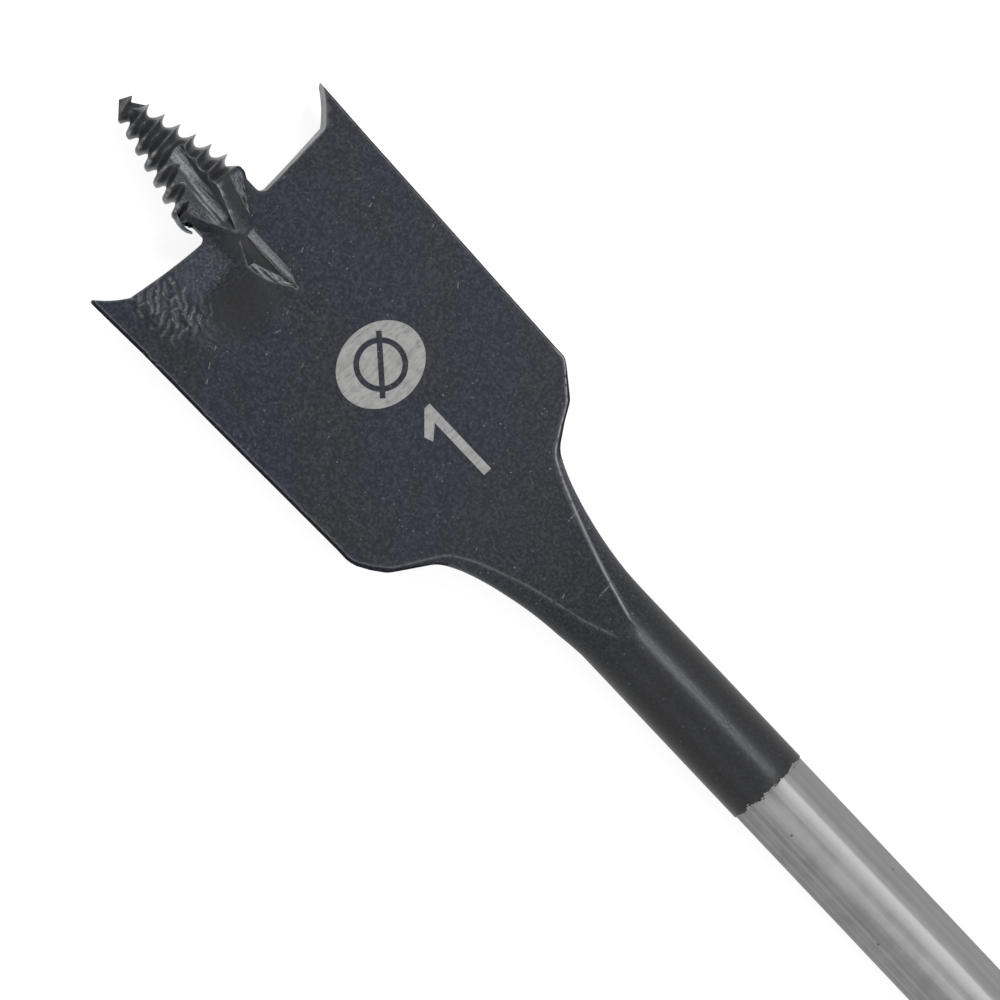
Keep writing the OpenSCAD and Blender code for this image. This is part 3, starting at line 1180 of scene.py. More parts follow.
    def blade_ring(self, x: float, shares: np.ndarray, outline: np.ndarray) -> np.ndarray:
        """One ring of the blade: flat faces joined by round sides that fit the neck's circle.

        Args:
            x: Place along the axis.
            shares: Places of the lengthwise lines across a face.
            outline: The blade's outline.

        Returns:
            The ring's points.
        """
        half = float(np.interp(x, outline[:, 1], outline[:, 0]))
        if x < self.neck_x:
            half = self.bar.neck_r
        ramp = max(0.0, min(1.0, (self.ramp_x - x) / (self.ramp_x - self.tongue_x))) ** 2
        end_t = math.sqrt(self.bar.neck_r**2 - self.tongue_half_w**2)
        t = self.bar.half_t + (end_t - self.bar.half_t) * ramp
        if x > self.ramp_x:
            reach = max(0.0, min(1.0, (self.side_x - x) / (self.side_x - self.ramp_x)))
            band = self.side_band + (self.shoulder_band - self.side_band) * reach
        else:
            band = self.shoulder_band + (self.bar.neck_r - self.tongue_half_w - self.shoulder_band) * ramp
        turn = math.acos((half - band) / half)
        a = self.side_turn(turn)
        swell = t / math.sin(turn)
        face_y, face_z = (half - band) * shares, np.full(len(shares), t)
        ring = self.lay(x, half * np.cos(a), swell * np.sin(a), face_y, face_z)
        ring = self.forge(ring, half - band, t)
        at, left, right = np.array(self.drift).T
        s = self.bar.length - x
        ring[:, 1] *= 1 + np.where(ring[:, 1] > 0, np.interp(s, at, left), np.interp(s, at, right)) / half
        at, inset = np.array(self.pinch).T
        near_rim = np.interp(ring[:, 1] / half, [0.0, 1 - band / half, 1.0], [0.0, 1.0, 0.0])
        ring[:, 1] -= np.interp(s, at, inset) * near_rim
        return ring

    def lay(
        self, x: float, side_y: np.ndarray, side_z: np.ndarray, face_y: np.ndarray, face_z: np.ndarray
    ) -> np.ndarray:
        """Joins the side and face points of one ring, in order round the axis.

        Args:
            x: Place along the axis.
            side_y: Places across of one side's points.
            side_z: Their heights.
            face_y: Places across of the marked face's points.
            face_z: Their heights.

        Returns:
            The ring's points.
        """
        y = np.concatenate([side_y, -face_y, -side_y, face_y])
        z = np.concatenate([-side_z, -face_z, side_z, face_z])
        return ring_at(x, y, z)

    def forge(self, ring: np.ndarray, flat_half: float, t: float) -> np.ndarray:
        """Sinks the scoops and wrinkles into a ring's faces and adds the sides' burrs.

        Args:
            ring: The ring's points, which are changed.
            flat_half: Half width of its flat faces.
            t: Height of its flat faces.

        Returns:
            The changed ring.
        """
        s = self.bar.length - ring[0, 0]
        for point in ring:
            x, y, z = point
            if abs(y) < flat_half - TINY and abs(abs(z) - t) < TINY:
                up = 1.0 if z > 0 else -1.0
                floor = self.soft_least(t, float(self.hollow(np.array(x), np.array(up * y))))
                bump, _ = self.wrinkles(x, up * y)
                spot = Vector((x * self.waves_per_mm, y * self.waves_per_mm, up))
                wave = self.wave_depth * noise.noise(spot)
                rim = min(1.0, (flat_half - abs(y)) / self.rim_fade)
                point[2] = up * (floor + (bump + wave) * rim)
            elif abs(y) >= flat_half - TINY and s < self.side_end:
                spot = Vector((x * self.ragged_per_mm, math.copysign(5.0, y), 0.0))
                ragged = self.side_ragged * noise.noise(spot)
                burrs = self.burrs if y > 0 else ()
                spike = sum(h * math.exp(-((s - at) / width) ** 2) for at, h, width in burrs)
                edge = max(0.0, (z - self.burr_from * t) / ((1 - self.burr_from) * t))
                point[1] += math.copysign(ragged + spike * edge, y)
        return ring

    def rim_line(self) -> np.ndarray:
        """Points along the rims of both faces, from the tongue's end to the foot of the sides.

        Returns:
            The points, one row each.
        """
        outline = self.outline()
        points = []
        for x in np.arange(self.tongue_x, self.side_x + self.rim_run, self.rim_step):
            ring = self.blade_ring(x, np.zeros(1), outline)
            points += [ring[0], ring[len(ring) // 2 - 2], ring[len(ring) // 2], ring[-2]]
        return np.array(points)

    def build(self, finish: bpy.types.Material) -> bpy.types.Object:
        """Makes the blade and neck as one solid."""
        return ring_solid(NODE, self.rings(), finish)


@dataclass
class EdgeGrind:
    """Ground cutting edges, gullets and spurs."""

    bar: Bar
    edge_rise: float = 0.6
    spur_w: float = 2.45
    spur_h: float = 2.15
    far_edge_rise: float = 0.42
    far_spur_h: float = 2.95
    flank_pull: float = 0.4
    clearance: float = math.radians(11.0)
    gullet_r: float = 0.7
    web_half: float = 2.66
    far_web_half: float = 2.96
    web_rise: float = 2.175
    gullet_steps: int = 12
    flank_steps: int = 18
    wall_faces: int = 12

    def profile(self, edge_rise: float, spur_h: float, web_half: float) -> np.ndarray:
        """Outline of what is ground away on one side of the axis.

        Args:
            edge_rise: Height of the edge's outer end over its inner end.
            spur_h: Height of the spur over the edge's outer end.
            web_half: Half width of the web that is left under the lead screw.

        Returns:
            Points as place across and height over the edge's inner end.
        """
        knee_y = self.bar.half_w - self.spur_w
        tip_h = edge_rise + spur_h
        above = self.bar.edge_at
        a = np.linspace(math.pi, 1.5 * math.pi, self.gullet_steps + 1)
        gullet = np.column_stack([
            web_half + self.gullet_r * (1 + np.cos(a)), self.gullet_r * (1 + np.sin(a))])
        flank = bend(
            np.array([knee_y, edge_rise]),
            np.array([knee_y + self.spur_w * (1 - self.flank_pull), edge_rise + spur_h * self.flank_pull]),
            np.array([self.bar.half_w + 0.02, tip_h]),
            self.flank_steps,
        )
        outer = self.bar.half_w + self.bar.lap
        return np.concatenate([
            [[0.0, above], [0.0, self.web_rise], [web_half, self.web_rise]],
            gullet,
            flank,
            [[outer, tip_h], [outer, above]],
        ])

    def cutters(self, finish: bpy.types.Material, wall: bpy.types.Material) -> list[bpy.types.Object]:
        """Makes what is ground away on both sides of the axis.

        Args:
            finish: The material of the ground edges.
            wall: The material of the web's sides and the gullets.

        Returns:
            One cutter for each side.
        """
        near = self.cutter(self.profile(self.edge_rise, self.spur_h, self.web_half), finish)
        spare = self.cutter(self.profile(self.far_edge_rise, self.far_spur_h, self.far_web_half), finish)
        for cutter in (near, spare):
            dress_faces(cutter, wall, slice(self.wall_faces))
        far = half_turn(spare)
        bpy.data.objects.remove(spare)
        return [near, far]

    def cutter(self, profile: np.ndarray, finish: bpy.types.Material) -> bpy.types.Object:
        """Makes what is ground away over one outline, leaning back by the clearance angle.

        Args:
            profile: Outline of what is ground away.
            finish: The material that the cutter leaves.

        Returns:
            The cutter.
        """
        edge_x = self.bar.from_point(self.bar.edge_at)
        rings = []
        for z in (self.bar.half_t + self.bar.lap, -self.bar.half_t - self.bar.lap):
            lean = (self.bar.half_t - z) * math.tan(self.clearance)
            x = edge_x + profile[:, 1] - lean
            rings.append(np.column_stack([x, profile[:, 0], np.full(len(profile), z)]))
        return ring_solid("edge_cutter", np.array(rings), finish)


@dataclass
class LeadScrew:
    """Conical right-hand lead screw with its collar, back cone and leaning flutes."""

    bar: Bar
    point_r: float = 0.95
    collar_r: float = 3.38
    collar_at: float = 10.45
    collar_len: float = 0.55
    pitch: float = 1.43
    depth: float = 0.8
    back_angle: float = math.radians(28.0)
    base_inset: float = 0.2
    point_gap: float = 0.35
    blunt_share: float = 0.75
    start_share: float = 0.3
    least_core: float = 0.15
    buried_share: float = 0.77
    buried_depth: float = 0.4
    blunt_side: float = 0.3
    fin_h: float = 0.13
    turn_steps: int = 96
    pitch_steps: int = 16
    collar_steps: int = 6
    flute_core: float = 1.65
    flute_lean: float = math.radians(10.0)
    flute_cross: float = 11.2
    flute_top: float = 5.9
    flute_gentle: float = math.radians(22.0)
    flute_steep: float = math.radians(20.0)
    collar_soft: float = 0.08
    facet_plane: Rows = ((11.0, -3.08, 1.4), (14.0, -1.12, 1.4), (12.0, -1.62, 2.34))
    facet_size: Rows = ((-3, -3), (8, -3), (8, 3), (-3, 3))
    facet_t: float = 3.0
    curl: Rows = (
        (9.6, 2.95, 0.25), (10.0, 3.2, 0.2), (10.5, 3.33, 0.16), (11.0, 3.36, 0.13), (11.4, 3.28, 0.1),
        (11.8, 3.1, 0.04))
    curl_z: float = 0.5
    curl_half: float = 0.7
    undercut_line: Rows = ((10.7, 4.5), (10.7, 3.15), (11.1, 2.7), (12.0, 2.6), (13.4, 2.6), (13.4, 4.5))
    undercut_half: float = 4.0

    def thread_tree(self, finish: bpy.types.Material) -> bpy.types.GeometryNodeTree:
        """Makes the tree that winds a grid into the tapered thread.

        Args:
            finish: The material of the thread.

        Returns:
            The tree, with the thread's sizes as its inputs.
        """
        loom = GeometryLoom.begin("lead_screw_thread", dict.fromkeys(self.inputs(), "NodeSocketFloat"))
        size = loom.given
        pitch, collar_r, collar_at = size["Pitch"], size["Collar Radius"], size["Collar Distance"]
        grid = loom.wire("GeometryNodeMeshGrid", "Mesh", {
            "Size X": 1.0,
            "Size Y": 1.0,
            "Vertices X": self.wound_steps() + 1,
            "Vertices Y": self.pitch_steps + 1,
        })
        x, y, _ = loom.position()
        wound = (x + 0.5) * size["Turns"]
        across = y + 0.5
        place = size["Start"] + pitch * (wound + across)
        left = size["Point"] - place
        run_out = pitch * 0.5
        slope = (collar_r - size["Point Radius"]) / (collar_at - run_out)
        blunt = (self.blunt_share + (1 - self.blunt_share) * (left / pitch)).least(1.0)
        crest = (size["Point Radius"] + slope * left).least(collar_r) * blunt
        fade_in = (self.start_share + left / pitch).least(1.0)
        fade_out = ((collar_at - left) / run_out + self.start_share).least(1.0).most(0.0)
        depth = (size["Depth"] * fade_in * fade_out).least(crest - self.least_core * MM)
        angle = wound * (2 * math.pi)
        turned = angle.math("SINE", angle)
        blunting = 1.0 + self.blunt_side * turned.ease(0.2, 0.9)
        from_crest = ((2.0 * across - 1.0).size() * blunting).least(1.0)
        sunk = left.above(collar_at) * (self.buried_depth * MM)
        fin = turned.ease(-0.3, -0.95) * from_crest.ease(0.6, 1.0) * fade_in * fade_out * (self.fin_h * MM)
        radius = crest - sunk - depth * (1.0 - from_crest * from_crest) + fin
        moved = loom.wire("ShaderNodeCombineXYZ", "Vector", {
            "X": place, "Y": radius * turned, "Z": radius * angle.math("COSINE", angle) * -1.0})
        shaped = loom.wire("GeometryNodeSetPosition", "Geometry", {"Geometry": grid, "Position": moved})
        joined = loom.wire("GeometryNodeMergeByDistance", "Geometry", {"Geometry": shaped, "Distance": WELD})
        return loom.finish(joined, finish)

    def inputs(self) -> dict[str, float]:
        """The thread's sizes in metres.

        Returns:
            The values of the tree's inputs, by name.
        """
        return {
            "Pitch": self.pitch * MM,
            "Turns": self.wound_steps() / self.turn_steps,
            "Start": self.start_x() * MM,
            "Point": self.bar.length * MM,
            "Point Radius": self.point_r * MM,
            "Collar Radius": self.collar_r * MM,
            "Collar Distance": self.collar_at * MM,
            "Depth": self.depth * MM,
        }

    def start_x(self) -> float:
        """Place where the thread begins, buried under the collar."""
        return self.bar.from_point(self.collar_at) - self.buried_share * self.pitch

    def wound_steps(self) -> int:
        """Steps of the thread along its helix."""
        turns = (self.bar.from_point(self.point_gap) - self.start_x()) / self.pitch - 1
        return math.floor(self.turn_steps * turns)

    def thread(self, finish: bpy.types.Material) -> bpy.types.Object:
        """Makes the thread as a closed solid.

        Args:
            finish: The material.

        Returns:
            The thread.
        """
        made = make_object("thread", bpy.data.meshes.new("thread"))
        run_tree(made, self.thread_tree(finish), self.inputs())
        middle = (self.start_x() + self.bar.length) / 2 * MM
        with editing(made.data) as work:
            low = work.verts.new((self.start_x() * MM, 0.0, 0.0))
            tip = work.verts.new((self.bar.length * MM, 0.0, 0.0))
            for edge in [e for e in work.edges if e.is_boundary]:
                a, b = edge.verts
                work.faces.new((a, b, tip if a.co.x > middle else low))
            bmesh.ops.recalc_face_normals(work, faces=work.faces)
        return made

    def base(self, finish: bpy.types.Material) -> bpy.types.Object:
        """Makes the collar and the cone that carries it into the blade.

        Args:
            finish: The material.

        Returns:
            Both as one solid.
        """
        toe_r = self.bar.half_t - self.base_inset
        low_x = self.bar.from_point(self.collar_at + self.collar_len)
        top_x = self.bar.from_point(self.collar_at)
        toe_x = low_x - (self.collar_r - toe_r) / math.tan(self.back_angle)
        soft = self.collar_soft
        stops = np.array([
            (toe_x, toe_r),
            (low_x - soft, self.collar_r - soft * math.tan(self.back_angle)),
            (low_x + soft, self.collar_r),
            (top_x - soft, self.collar_r),
            (top_x + soft, self.collar_r - soft),
            (top_x + self.pitch / 2, self.collar_r - self.depth),
        ])
        runs = [np.linspace(a, b, self.collar_steps + 1)[:-1] for a, b in zip(stops, stops[1:])]
        fine = np.concatenate([*runs, stops[-1:]])
        a = np.linspace(0, 2 * math.pi, self.turn_steps, endpoint=False)
        rings = [ring_at(x, r * np.sin(a), r * np.cos(a)) for x, r in fine]
        return ring_solid("screw_base", np.array(rings), finish)

    def facets(self, finish: bpy.types.Material) -> list[bpy.types.Object]:
        """Makes what is pressed flat on the flank of the cone beside each flute.

        Args:
            finish: The material that is left.

        Returns:
            One cutter for each side.
        """
        foot = np.array([(self.bar.from_point(s), y, z) for s, y, z in self.facet_plane])
        along = (foot[1] - foot[0]) / np.linalg.norm(foot[1] - foot[0])
        out = np.cross(foot[2] - foot[0], along)
        out /= np.linalg.norm(out)
        rise = np.cross(along, out)
        corners = [foot[0] + along * u + rise * v for u, v in self.facet_size]
        rings = np.array([corners, [c + out * self.facet_t for c in corners]])
        near = ring_solid("facet", rings, finish)
        return [near, half_turn(near)]

    def burr(self, finish: bpy.types.Material) -> bpy.types.Object:
        """Makes the thin curl of metal that the thread's end leaves at the side of the collar.

        Args:
            finish: The material.

        Returns:
            The curl.
        """
        corners = ((-1, -1), (1, -1), (1, 1), (-1, 1))
        rings = [
            [(self.bar.from_point(s), y + half * u, self.curl_z + self.curl_half * v) for u, v in corners]
            for s, y, half in self.curl
        ]
        return ring_solid("burr", np.array(rings), finish)

    def undercut(self, finish: bpy.types.Material) -> bpy.types.Object:
        """Makes what the grinding of the marked face's edge takes off the side of the collar.

        Args:
            finish: The material that is left.

        Returns:
            The cutter.
        """
        ends = (-self.undercut_half, self.undercut_half)
        rings = [[(self.bar.from_point(s), y, z) for s, y in self.undercut_line] for z in ends]
        return ring_solid("undercut", np.array(rings), finish)

    def flutes(self, finish: bpy.types.Material) -> list[bpy.types.Object]:
        """Makes the leaning grooves that are milled out of both sides of the screw.

        Args:
            finish: The material that is left.

        Returns:
            One cutter for each side.
        """
        reach = self.collar_r + self.bar.lap
        wall = np.array([
            [0.0, 0.0],
            [reach, -reach * math.tan(self.flute_steep)],
            [reach, reach],
            [reach * math.tan(self.flute_gentle), reach],
        ])
        lean_x, lean_y = math.cos(self.flute_lean), math.sin(self.flute_lean)
        rings = []
        for t in np.linspace(-self.flute_cross, self.flute_cross - self.flute_top, 3):
            x = self.bar.from_point(self.flute_cross) + wall[:, 1] * lean_y + t * lean_x
            y = wall[:, 1] * lean_x - t * lean_y
            rings.append(np.column_stack([x, y, self.flute_core + wall[:, 0]]))
        near = ring_solid("flute", np.array(rings), finish)
        return [near, half_turn(near)]


@dataclass
class StruckNotch:
    """Kite-shaped notch struck into each face behind the lead screw, with the lip it pushes up."""

    bar: Bar
    rim: Rows = ((15.0, 0.15), (15.0, 0.85), (16.85, 1.75), (18.6, 1.4), (20.7, 0.06))
    floor: Rows = ((16.9, 1.2), (19.2, 0.3))
    depth: float = 0.55
    # Count of the last faces, the long wall, that take the painted light
    painted_lit_faces: int = 3
    lip_feet: Rows = ((15.0, -0.55, 0.12), (19.4, -0.48, 0.12), (20.75, 0.0, 0.02))
    lip_y: float = 0.2
    lip_run: float = 0.3
    lip_sunk: float = 0.05

    def cutters(self, finish: bpy.types.Material, wall: bpy.types.Material) -> list[bpy.types.Object]:
        """Makes the notches' hollows.

        Args:
            finish: The material that the hollows leave.
            wall: The material of their long wall, whose pale colour is painted light.

        Returns:
            One hollow for each face.
        """
        t = self.bar.half_t
        points = [(self.bar.from_point(s), y, z) for z in (t + self.bar.lap, t) for s, y in self.rim]
        points += [(self.bar.from_point(s), y, t - self.depth) for s, y in self.floor]
        walls = [(i, (i + 1) % 5, 5 + (i + 1) % 5, 5 + i) for i in range(5)]
        # Corners 0 to 4 are above the rim, 5 to 9 on it, and 10 and 11 on the floor
        floor = [(5, 10, 11), (5, 6, 10), (6, 7, 10), (7, 8, 11, 10), (8, 9, 11), (9, 5, 11)]
        near = make_solid("notch", np.array(points), [(0, 1, 2, 3, 4), *walls, *floor], finish)
        # Painted light: the long wall faces away from the key lamp and takes a pale coat
        dress_faces(near, wall, slice(-self.painted_lit_faces, None))
        return [near, half_turn(near)]

    def lips(self, finish: bpy.types.Material) -> list[bpy.types.Object]:
        """Makes the low ridges of metal beside the notches.

        Args:
            finish: The material.

        Returns:
            One ridge for each face.
        """
        t = self.bar.half_t
        rings = []
        for s, foot, rise in self.lip_feet:
            x = self.bar.from_point(s)
            toe = (x, foot - self.lip_run, t - self.lip_sunk)
            rings.append([toe, (x, self.lip_y, t + rise), (x, self.lip_y, t - self.lip_run)])
        near = ring_solid("lip", np.array(rings), finish)
        return [near, half_turn(near)]


def run_tree(piece: bpy.types.Object, tree: bpy.types.GeometryNodeTree, values: dict[str, object]) -> None:
    """Runs a geometry tree on a piece and keeps the result as its plain mesh.

    Args:
        piece: The object that the tree works on.
        tree: The tree.
        values: Its inputs, by name.
    """
    change = piece.modifiers.new(tree.name, "NODES")
    change.node_group = tree
    for item in tree.interface.items_tree:
        if item.item_type == "SOCKET" and item.in_out == "INPUT" and item.name in values:
            change[item.identifier] = values[item.name]
    piece.update_tag()
    settle(piece)


@dataclass
class SpadeBit:
    """The whole bit as one forged and ground piece."""

    bar: Bar
    sharp_angle: float = math.radians(32.0)
    worn_angle: float = math.radians(28.0)
    worn_reach: float = 0.09
    crest_reach: float = 0.12
    ridge_step: float = 0.08
    neck_wear: float = 0.12
    # Rims on the key lamp's side, worn and raised further as painted highlight
    key_side_wear_and_glint: float = 0.9
    far_side_wear: float = 0.27
    blade_wear: float = 0.28
    flute_wear: float = 0.85
    cone_wear: float = 0.45
    crest_wear: float = 0.8
    least_wear: float = 0.1
    sound_rim: float = 0.5
    corner_run: float = 1.0
    screw_half: float = 4.0
    flute_end: float = 14.6
    flute_strip: tuple[float, float] = (-1.3, 0.2)
    tip_len: float = 1.6
    web_from: float = 10.9
    web_half: float = 2.2
    matt_tip: float = 1.3
    neck_matt: Rows = ((0.2, 0.4), (0.45, 0.55), (0.8, 0.55), (0.95, 0.0))
    side_matt: Rows = ((0.35, 1.0), (0.8, 0.0))
    sweep_matt: float = 0.4
    pressed_pale: Colour = (0.24, 0.26, 0.28, 1.0)
    # Pale tone of the notches' long wall, which is painted light
    painted_lit_pale: Colour = (0.44, 0.47, 0.50, 1.0)
    blade: Blade = field(init=False)

    def __post_init__(self) -> None:
        """Makes the blade that the rest is joined to."""
        self.blade = Blade(self.bar)

    def build(self) -> bpy.types.Object:
        """Builds, joins, grinds and dresses the bit.

        Returns:
            The finished piece.
        """
        at = self.bar.from_point
        coat = CoatedSteel().material(self.bar.hex_len, at(self.bar.thread_end))
        # The flutes' pale strip ends in painted shadow at the height of the cutting edges
        milled = MilledCoat().material(at(self.bar.edge_at))
        pressed = MilledCoat.all_over("pressed_coat", self.pressed_pale).material()
        # Painted light: a pale coat for the notches' long wall, which faces away from the key lamp
        painted_lit = MilledCoat.all_over("painted_lit_coat", self.painted_lit_pale).material()
        screw = LeadScrew(self.bar)
        notch = StruckNotch(self.bar)
        bit = self.blade.build(coat)
        combine(bit, EdgeGrind(self.bar).cutters(GroundSteel().material(), milled), How.DIFFERENCE)
        base = screw.base(coat)
        combine(base, [*screw.facets(pressed), screw.undercut(coat)], How.DIFFERENCE)
        shank = HexShank(self.bar).build(coat)
        added = [base, screw.thread(coat), screw.burr(coat), *notch.lips(pressed), shank]
        combine(bit, added, How.UNION)
        combine(bit, [*screw.flutes(milled), *notch.cutters(milled, painted_lit)], How.DIFFERENCE)
        bit.name = "forged_bit"
        bit.data.name = "forged_bit"
        self.smooth(bit.data)
        self.mark_surface(bit.data)
        return bit

    def smooth(self, mesh: bpy.types.Mesh) -> None:
        """Shades the mesh smooth, with sharp edges by angle and between finishes.

        Args:
            mesh: The bit's mesh.
        """
        mesh.shade_smooth()
        mesh.set_sharp_from_angle(angle=self.sharp_angle)
        with editing(mesh) as work:
            for edge in work.edges:
                if len({f.material_index for f in edge.link_faces}) > 1:
                    edge.smooth = False

    def wear_share(self, x: float, y: float) -> float:
        """How strongly ridges are worn, most along the shoulders and the tongue, where the key lamp's side is
        raised further as painted highlight.

        Args:
            x: Place along the axis.
            y: Place across the blade.

        Returns:
            0 for not at all to 1 for bare steel.
        """
        bar, blade = self.bar, self.blade
        if x < bar.hex_len + self.sound_rim:
            return 0.0
        if x < blade.tongue_x:
            return self.neck_wear
        # Painted highlight: the shoulders' and tongue's rims on the key lamp's side are brighter than on the
        # far side
        if x < blade.side_x + self.corner_run:
            return self.key_side_wear_and_glint if y < 0 else self.far_side_wear
        if abs(y) > self.screw_half:
            return self.blade_wear
        s = bar.length - x
        low, high = self.flute_strip
        if bar.thread_end < s < self.flute_end and low < y < high:
            return self.flute_wear
        if s < self.tip_len or s > self.web_from and abs(y) > self.web_half:
            return self.least_wear
        return self.crest_wear if s < bar.thread_end else self.cone_wear

    def matt_share(self, x: float, up: float) -> float:
        """How matt the coat is: most on the blade's upright sides and the very point, least on the thread.

        Args:
            x: Place along the axis.
            up: How far the surface faces up or down, from 0 to 1.

        Returns:
            0 for satin to 1 for matt.
        """
        blade = self.blade
        neck = look_up(((blade.tongue_x, 1.0), (blade.root_x, 0.0)), x)
        most = self.sweep_matt
        if x >= blade.root_x:
            most = 0.0 if self.matt_tip < self.bar.length - x < self.bar.thread_end else 1.0
        return neck * look_up(self.neck_matt, up) + (1.0 - neck) * most * look_up(self.side_matt, up)

    def mark_surface(self, mesh: bpy.types.Mesh) -> None:
        """Writes at each corner how worn and glinting, how struck and how matt the surface is, and its painted
        light and shade.

        Args:
            mesh: The bit's mesh.
        """
        work = bmesh.new()
        work.from_mesh(mesh)
        ridge = []
        for edge in work.edges:
            if edge.is_manifold and edge.calc_face_angle_signed() > self.worn_angle:
                a, b = (v.co for v in edge.verts)
                count = max(1, math.ceil((b - a).length / (self.ridge_step * MM)))
                ridge += [a.lerp(b, i / count) for i in range(count + 1)]
        work.free()
        ridge += [Vector(spot) * MM for spot in self.blade.rim_line()]
        tree = kdtree.KDTree(len(ridge))
        for i, spot in enumerate(ridge):
            tree.insert(spot, i)
        tree.balance()
        marks = {"wear_and_glint": [], "struck": [], "painted_light_shade": [], "matt": []}
        for vertex in mesh.vertices:
            x, y, z = (c / MM for c in vertex.co)
            side = math.copysign(1.0, z) * y
            on_thread = self.bar.length - x < self.bar.thread_end
            reach = self.crest_reach if on_thread else self.worn_reach
            off = tree.find(vertex.co)[2] / (reach * MM)
            marks["wear_and_glint"].append(math.exp(-(off**2)) * self.wear_share(x, y))
            marks["struck"].append(self.blade.wrinkles(x, side)[1])
            marks["painted_light_shade"].append(self.blade.painted_light_shade(x, side))
            marks["matt"].append(self.matt_share(x, abs(vertex.normal.z)))
        for name, values in marks.items():
            mesh.attributes.new(name, "FLOAT", "POINT").data.foreach_set("value", values)


@dataclass
class FaceMarks:
    """Size number and diameter sign etched into the marked face."""

    bar: Bar
    proud: float = 0.015
    number_at: float = 34.6
    number_h: float = 7.1
    number_y: float = -0.89
    stem_w: float = 0.76
    flag_w: float = 1.4
    flag_drop: float = 2.4
    flag_t: float = 0.72
    flag_slant: float = 0.28
    flag_root: float = 0.58
    disc_at: float = 29.7
    disc_y: float = -0.57
    disc_r: float = 3.25
    disc_stretch: float = 1.18
    ring_r: float = 1.95
    ring_t: float = 0.46
    slash_r: float = 2.7
    slash_lean: float = math.radians(50.0)
    disc_steps: int = 96
    arc_points: int = 32

    def number(self) -> list[np.ndarray]:
        """Outline of the figure 1 over the middle of its foot.

        Returns:
            One closed outline, as points across and up.
        """
        w, h = self.stem_w / 2, self.number_h
        return [np.array([
            (-w, 0.0), (w, 0.0), (w, h), (-w * 0.5, h), (-w - self.flag_w, h - self.flag_drop + self.flag_t),
            (-w - self.flag_w + self.flag_slant, h - self.flag_drop),
            (-w, h - self.flag_drop * self.flag_root)])]

    def sign(self) -> list[np.ndarray]:
        """Outlines of a disc with a diameter sign left out of it.

        Returns:
            Closed outlines about the disc's middle, from the outermost inwards.
        """
        full = np.linspace(0, 2 * math.pi, self.disc_steps, endpoint=False)
        disc = self.disc_r * np.column_stack([np.cos(full) * self.disc_stretch, np.sin(full)])
        w = self.ring_t / 2
        outer, inner = self.ring_r + w, self.ring_r - w
        near = math.asin(w / outer)
        half = np.linspace(near, math.pi - near, self.arc_points)
        arc = outer * np.column_stack([np.cos(half), np.sin(half)])
        ends = np.array([(-self.slash_r, w), (-self.slash_r, -w)])
        sign = np.concatenate([arc, ends, -arc, -ends])
        cut = math.asin(w / inner)
        cap = np.linspace(cut, math.pi - cut, self.arc_points)
        upper = inner * np.column_stack([np.cos(cap), np.sin(cap)])
        c, s = math.cos(self.slash_lean), math.sin(self.slash_lean)
        lean = np.array([(c, s), (-s, c)])
        return [disc, sign @ lean, upper @ lean, -upper @ lean]

    def etch(
        self, name: str, outlines: list[np.ndarray], x: float, y: float, finish: bpy.types.Material
    ) -> bpy.types.Object:
        """Makes one mark as a thin mesh on the marked face.

        Args:
            name: The piece's name.
            outlines: Closed outlines in millimetres, where each inner one is left out of the one round it.
            x: Place of the mark's own origin along the axis.
            y: Its place across the face.
            finish: The material.

        Returns:
            The mark.
        """
        flat = bpy.data.curves.new(name, "CURVE")
        flat.dimensions = "2D"
        flat.fill_mode = "BOTH"
        flat.extrude = self.proud * MM
        for outline in outlines:
            line = flat.splines.new("POLY")
            line.points.add(len(outline) - 1)
            line.use_cyclic_u = True
            for point, (u, v) in zip(line.points, outline):
                point.co = (u * MM, v * MM, 0.0, 1.0)
        drawn = make_object(f"{name}_line", flat)
        graph = bpy.context.evaluated_depsgraph_get()
        mesh = bpy.data.meshes.new_from_object(drawn.evaluated_get(graph))
        bpy.data.objects.remove(drawn)
        # The mark's top points to the lead screw and its right to the photograph's right side of the blade
        rows = ((0, 1, 0, x * MM), (-1, 0, 0, y * MM), (0, 0, 1, self.bar.half_t * MM), (0, 0, 0, 1))
        mesh.transform(Matrix(rows))
        mesh.materials.clear()
        mesh.materials.append(finish)
        with editing(mesh) as work:
            bmesh.ops.remove_doubles(work, verts=work.verts, dist=WELD)
            bmesh.ops.recalc_face_normals(work, faces=work.faces)
        return make_object(name, mesh)

    def build(self) -> list[bpy.types.Object]:
        """Makes both marks.

        Returns:
            The marks.
        """
        finish = EtchedSteel().material()
        foot = self.bar.from_point(self.number_at + self.number_h)
        return [
            self.etch("size_number", self.number(), foot, self.number_y, finish),
            self.etch("diameter_sign", self.sign(), self.bar.from_point(self.disc_at), self.disc_y, finish),
        ]


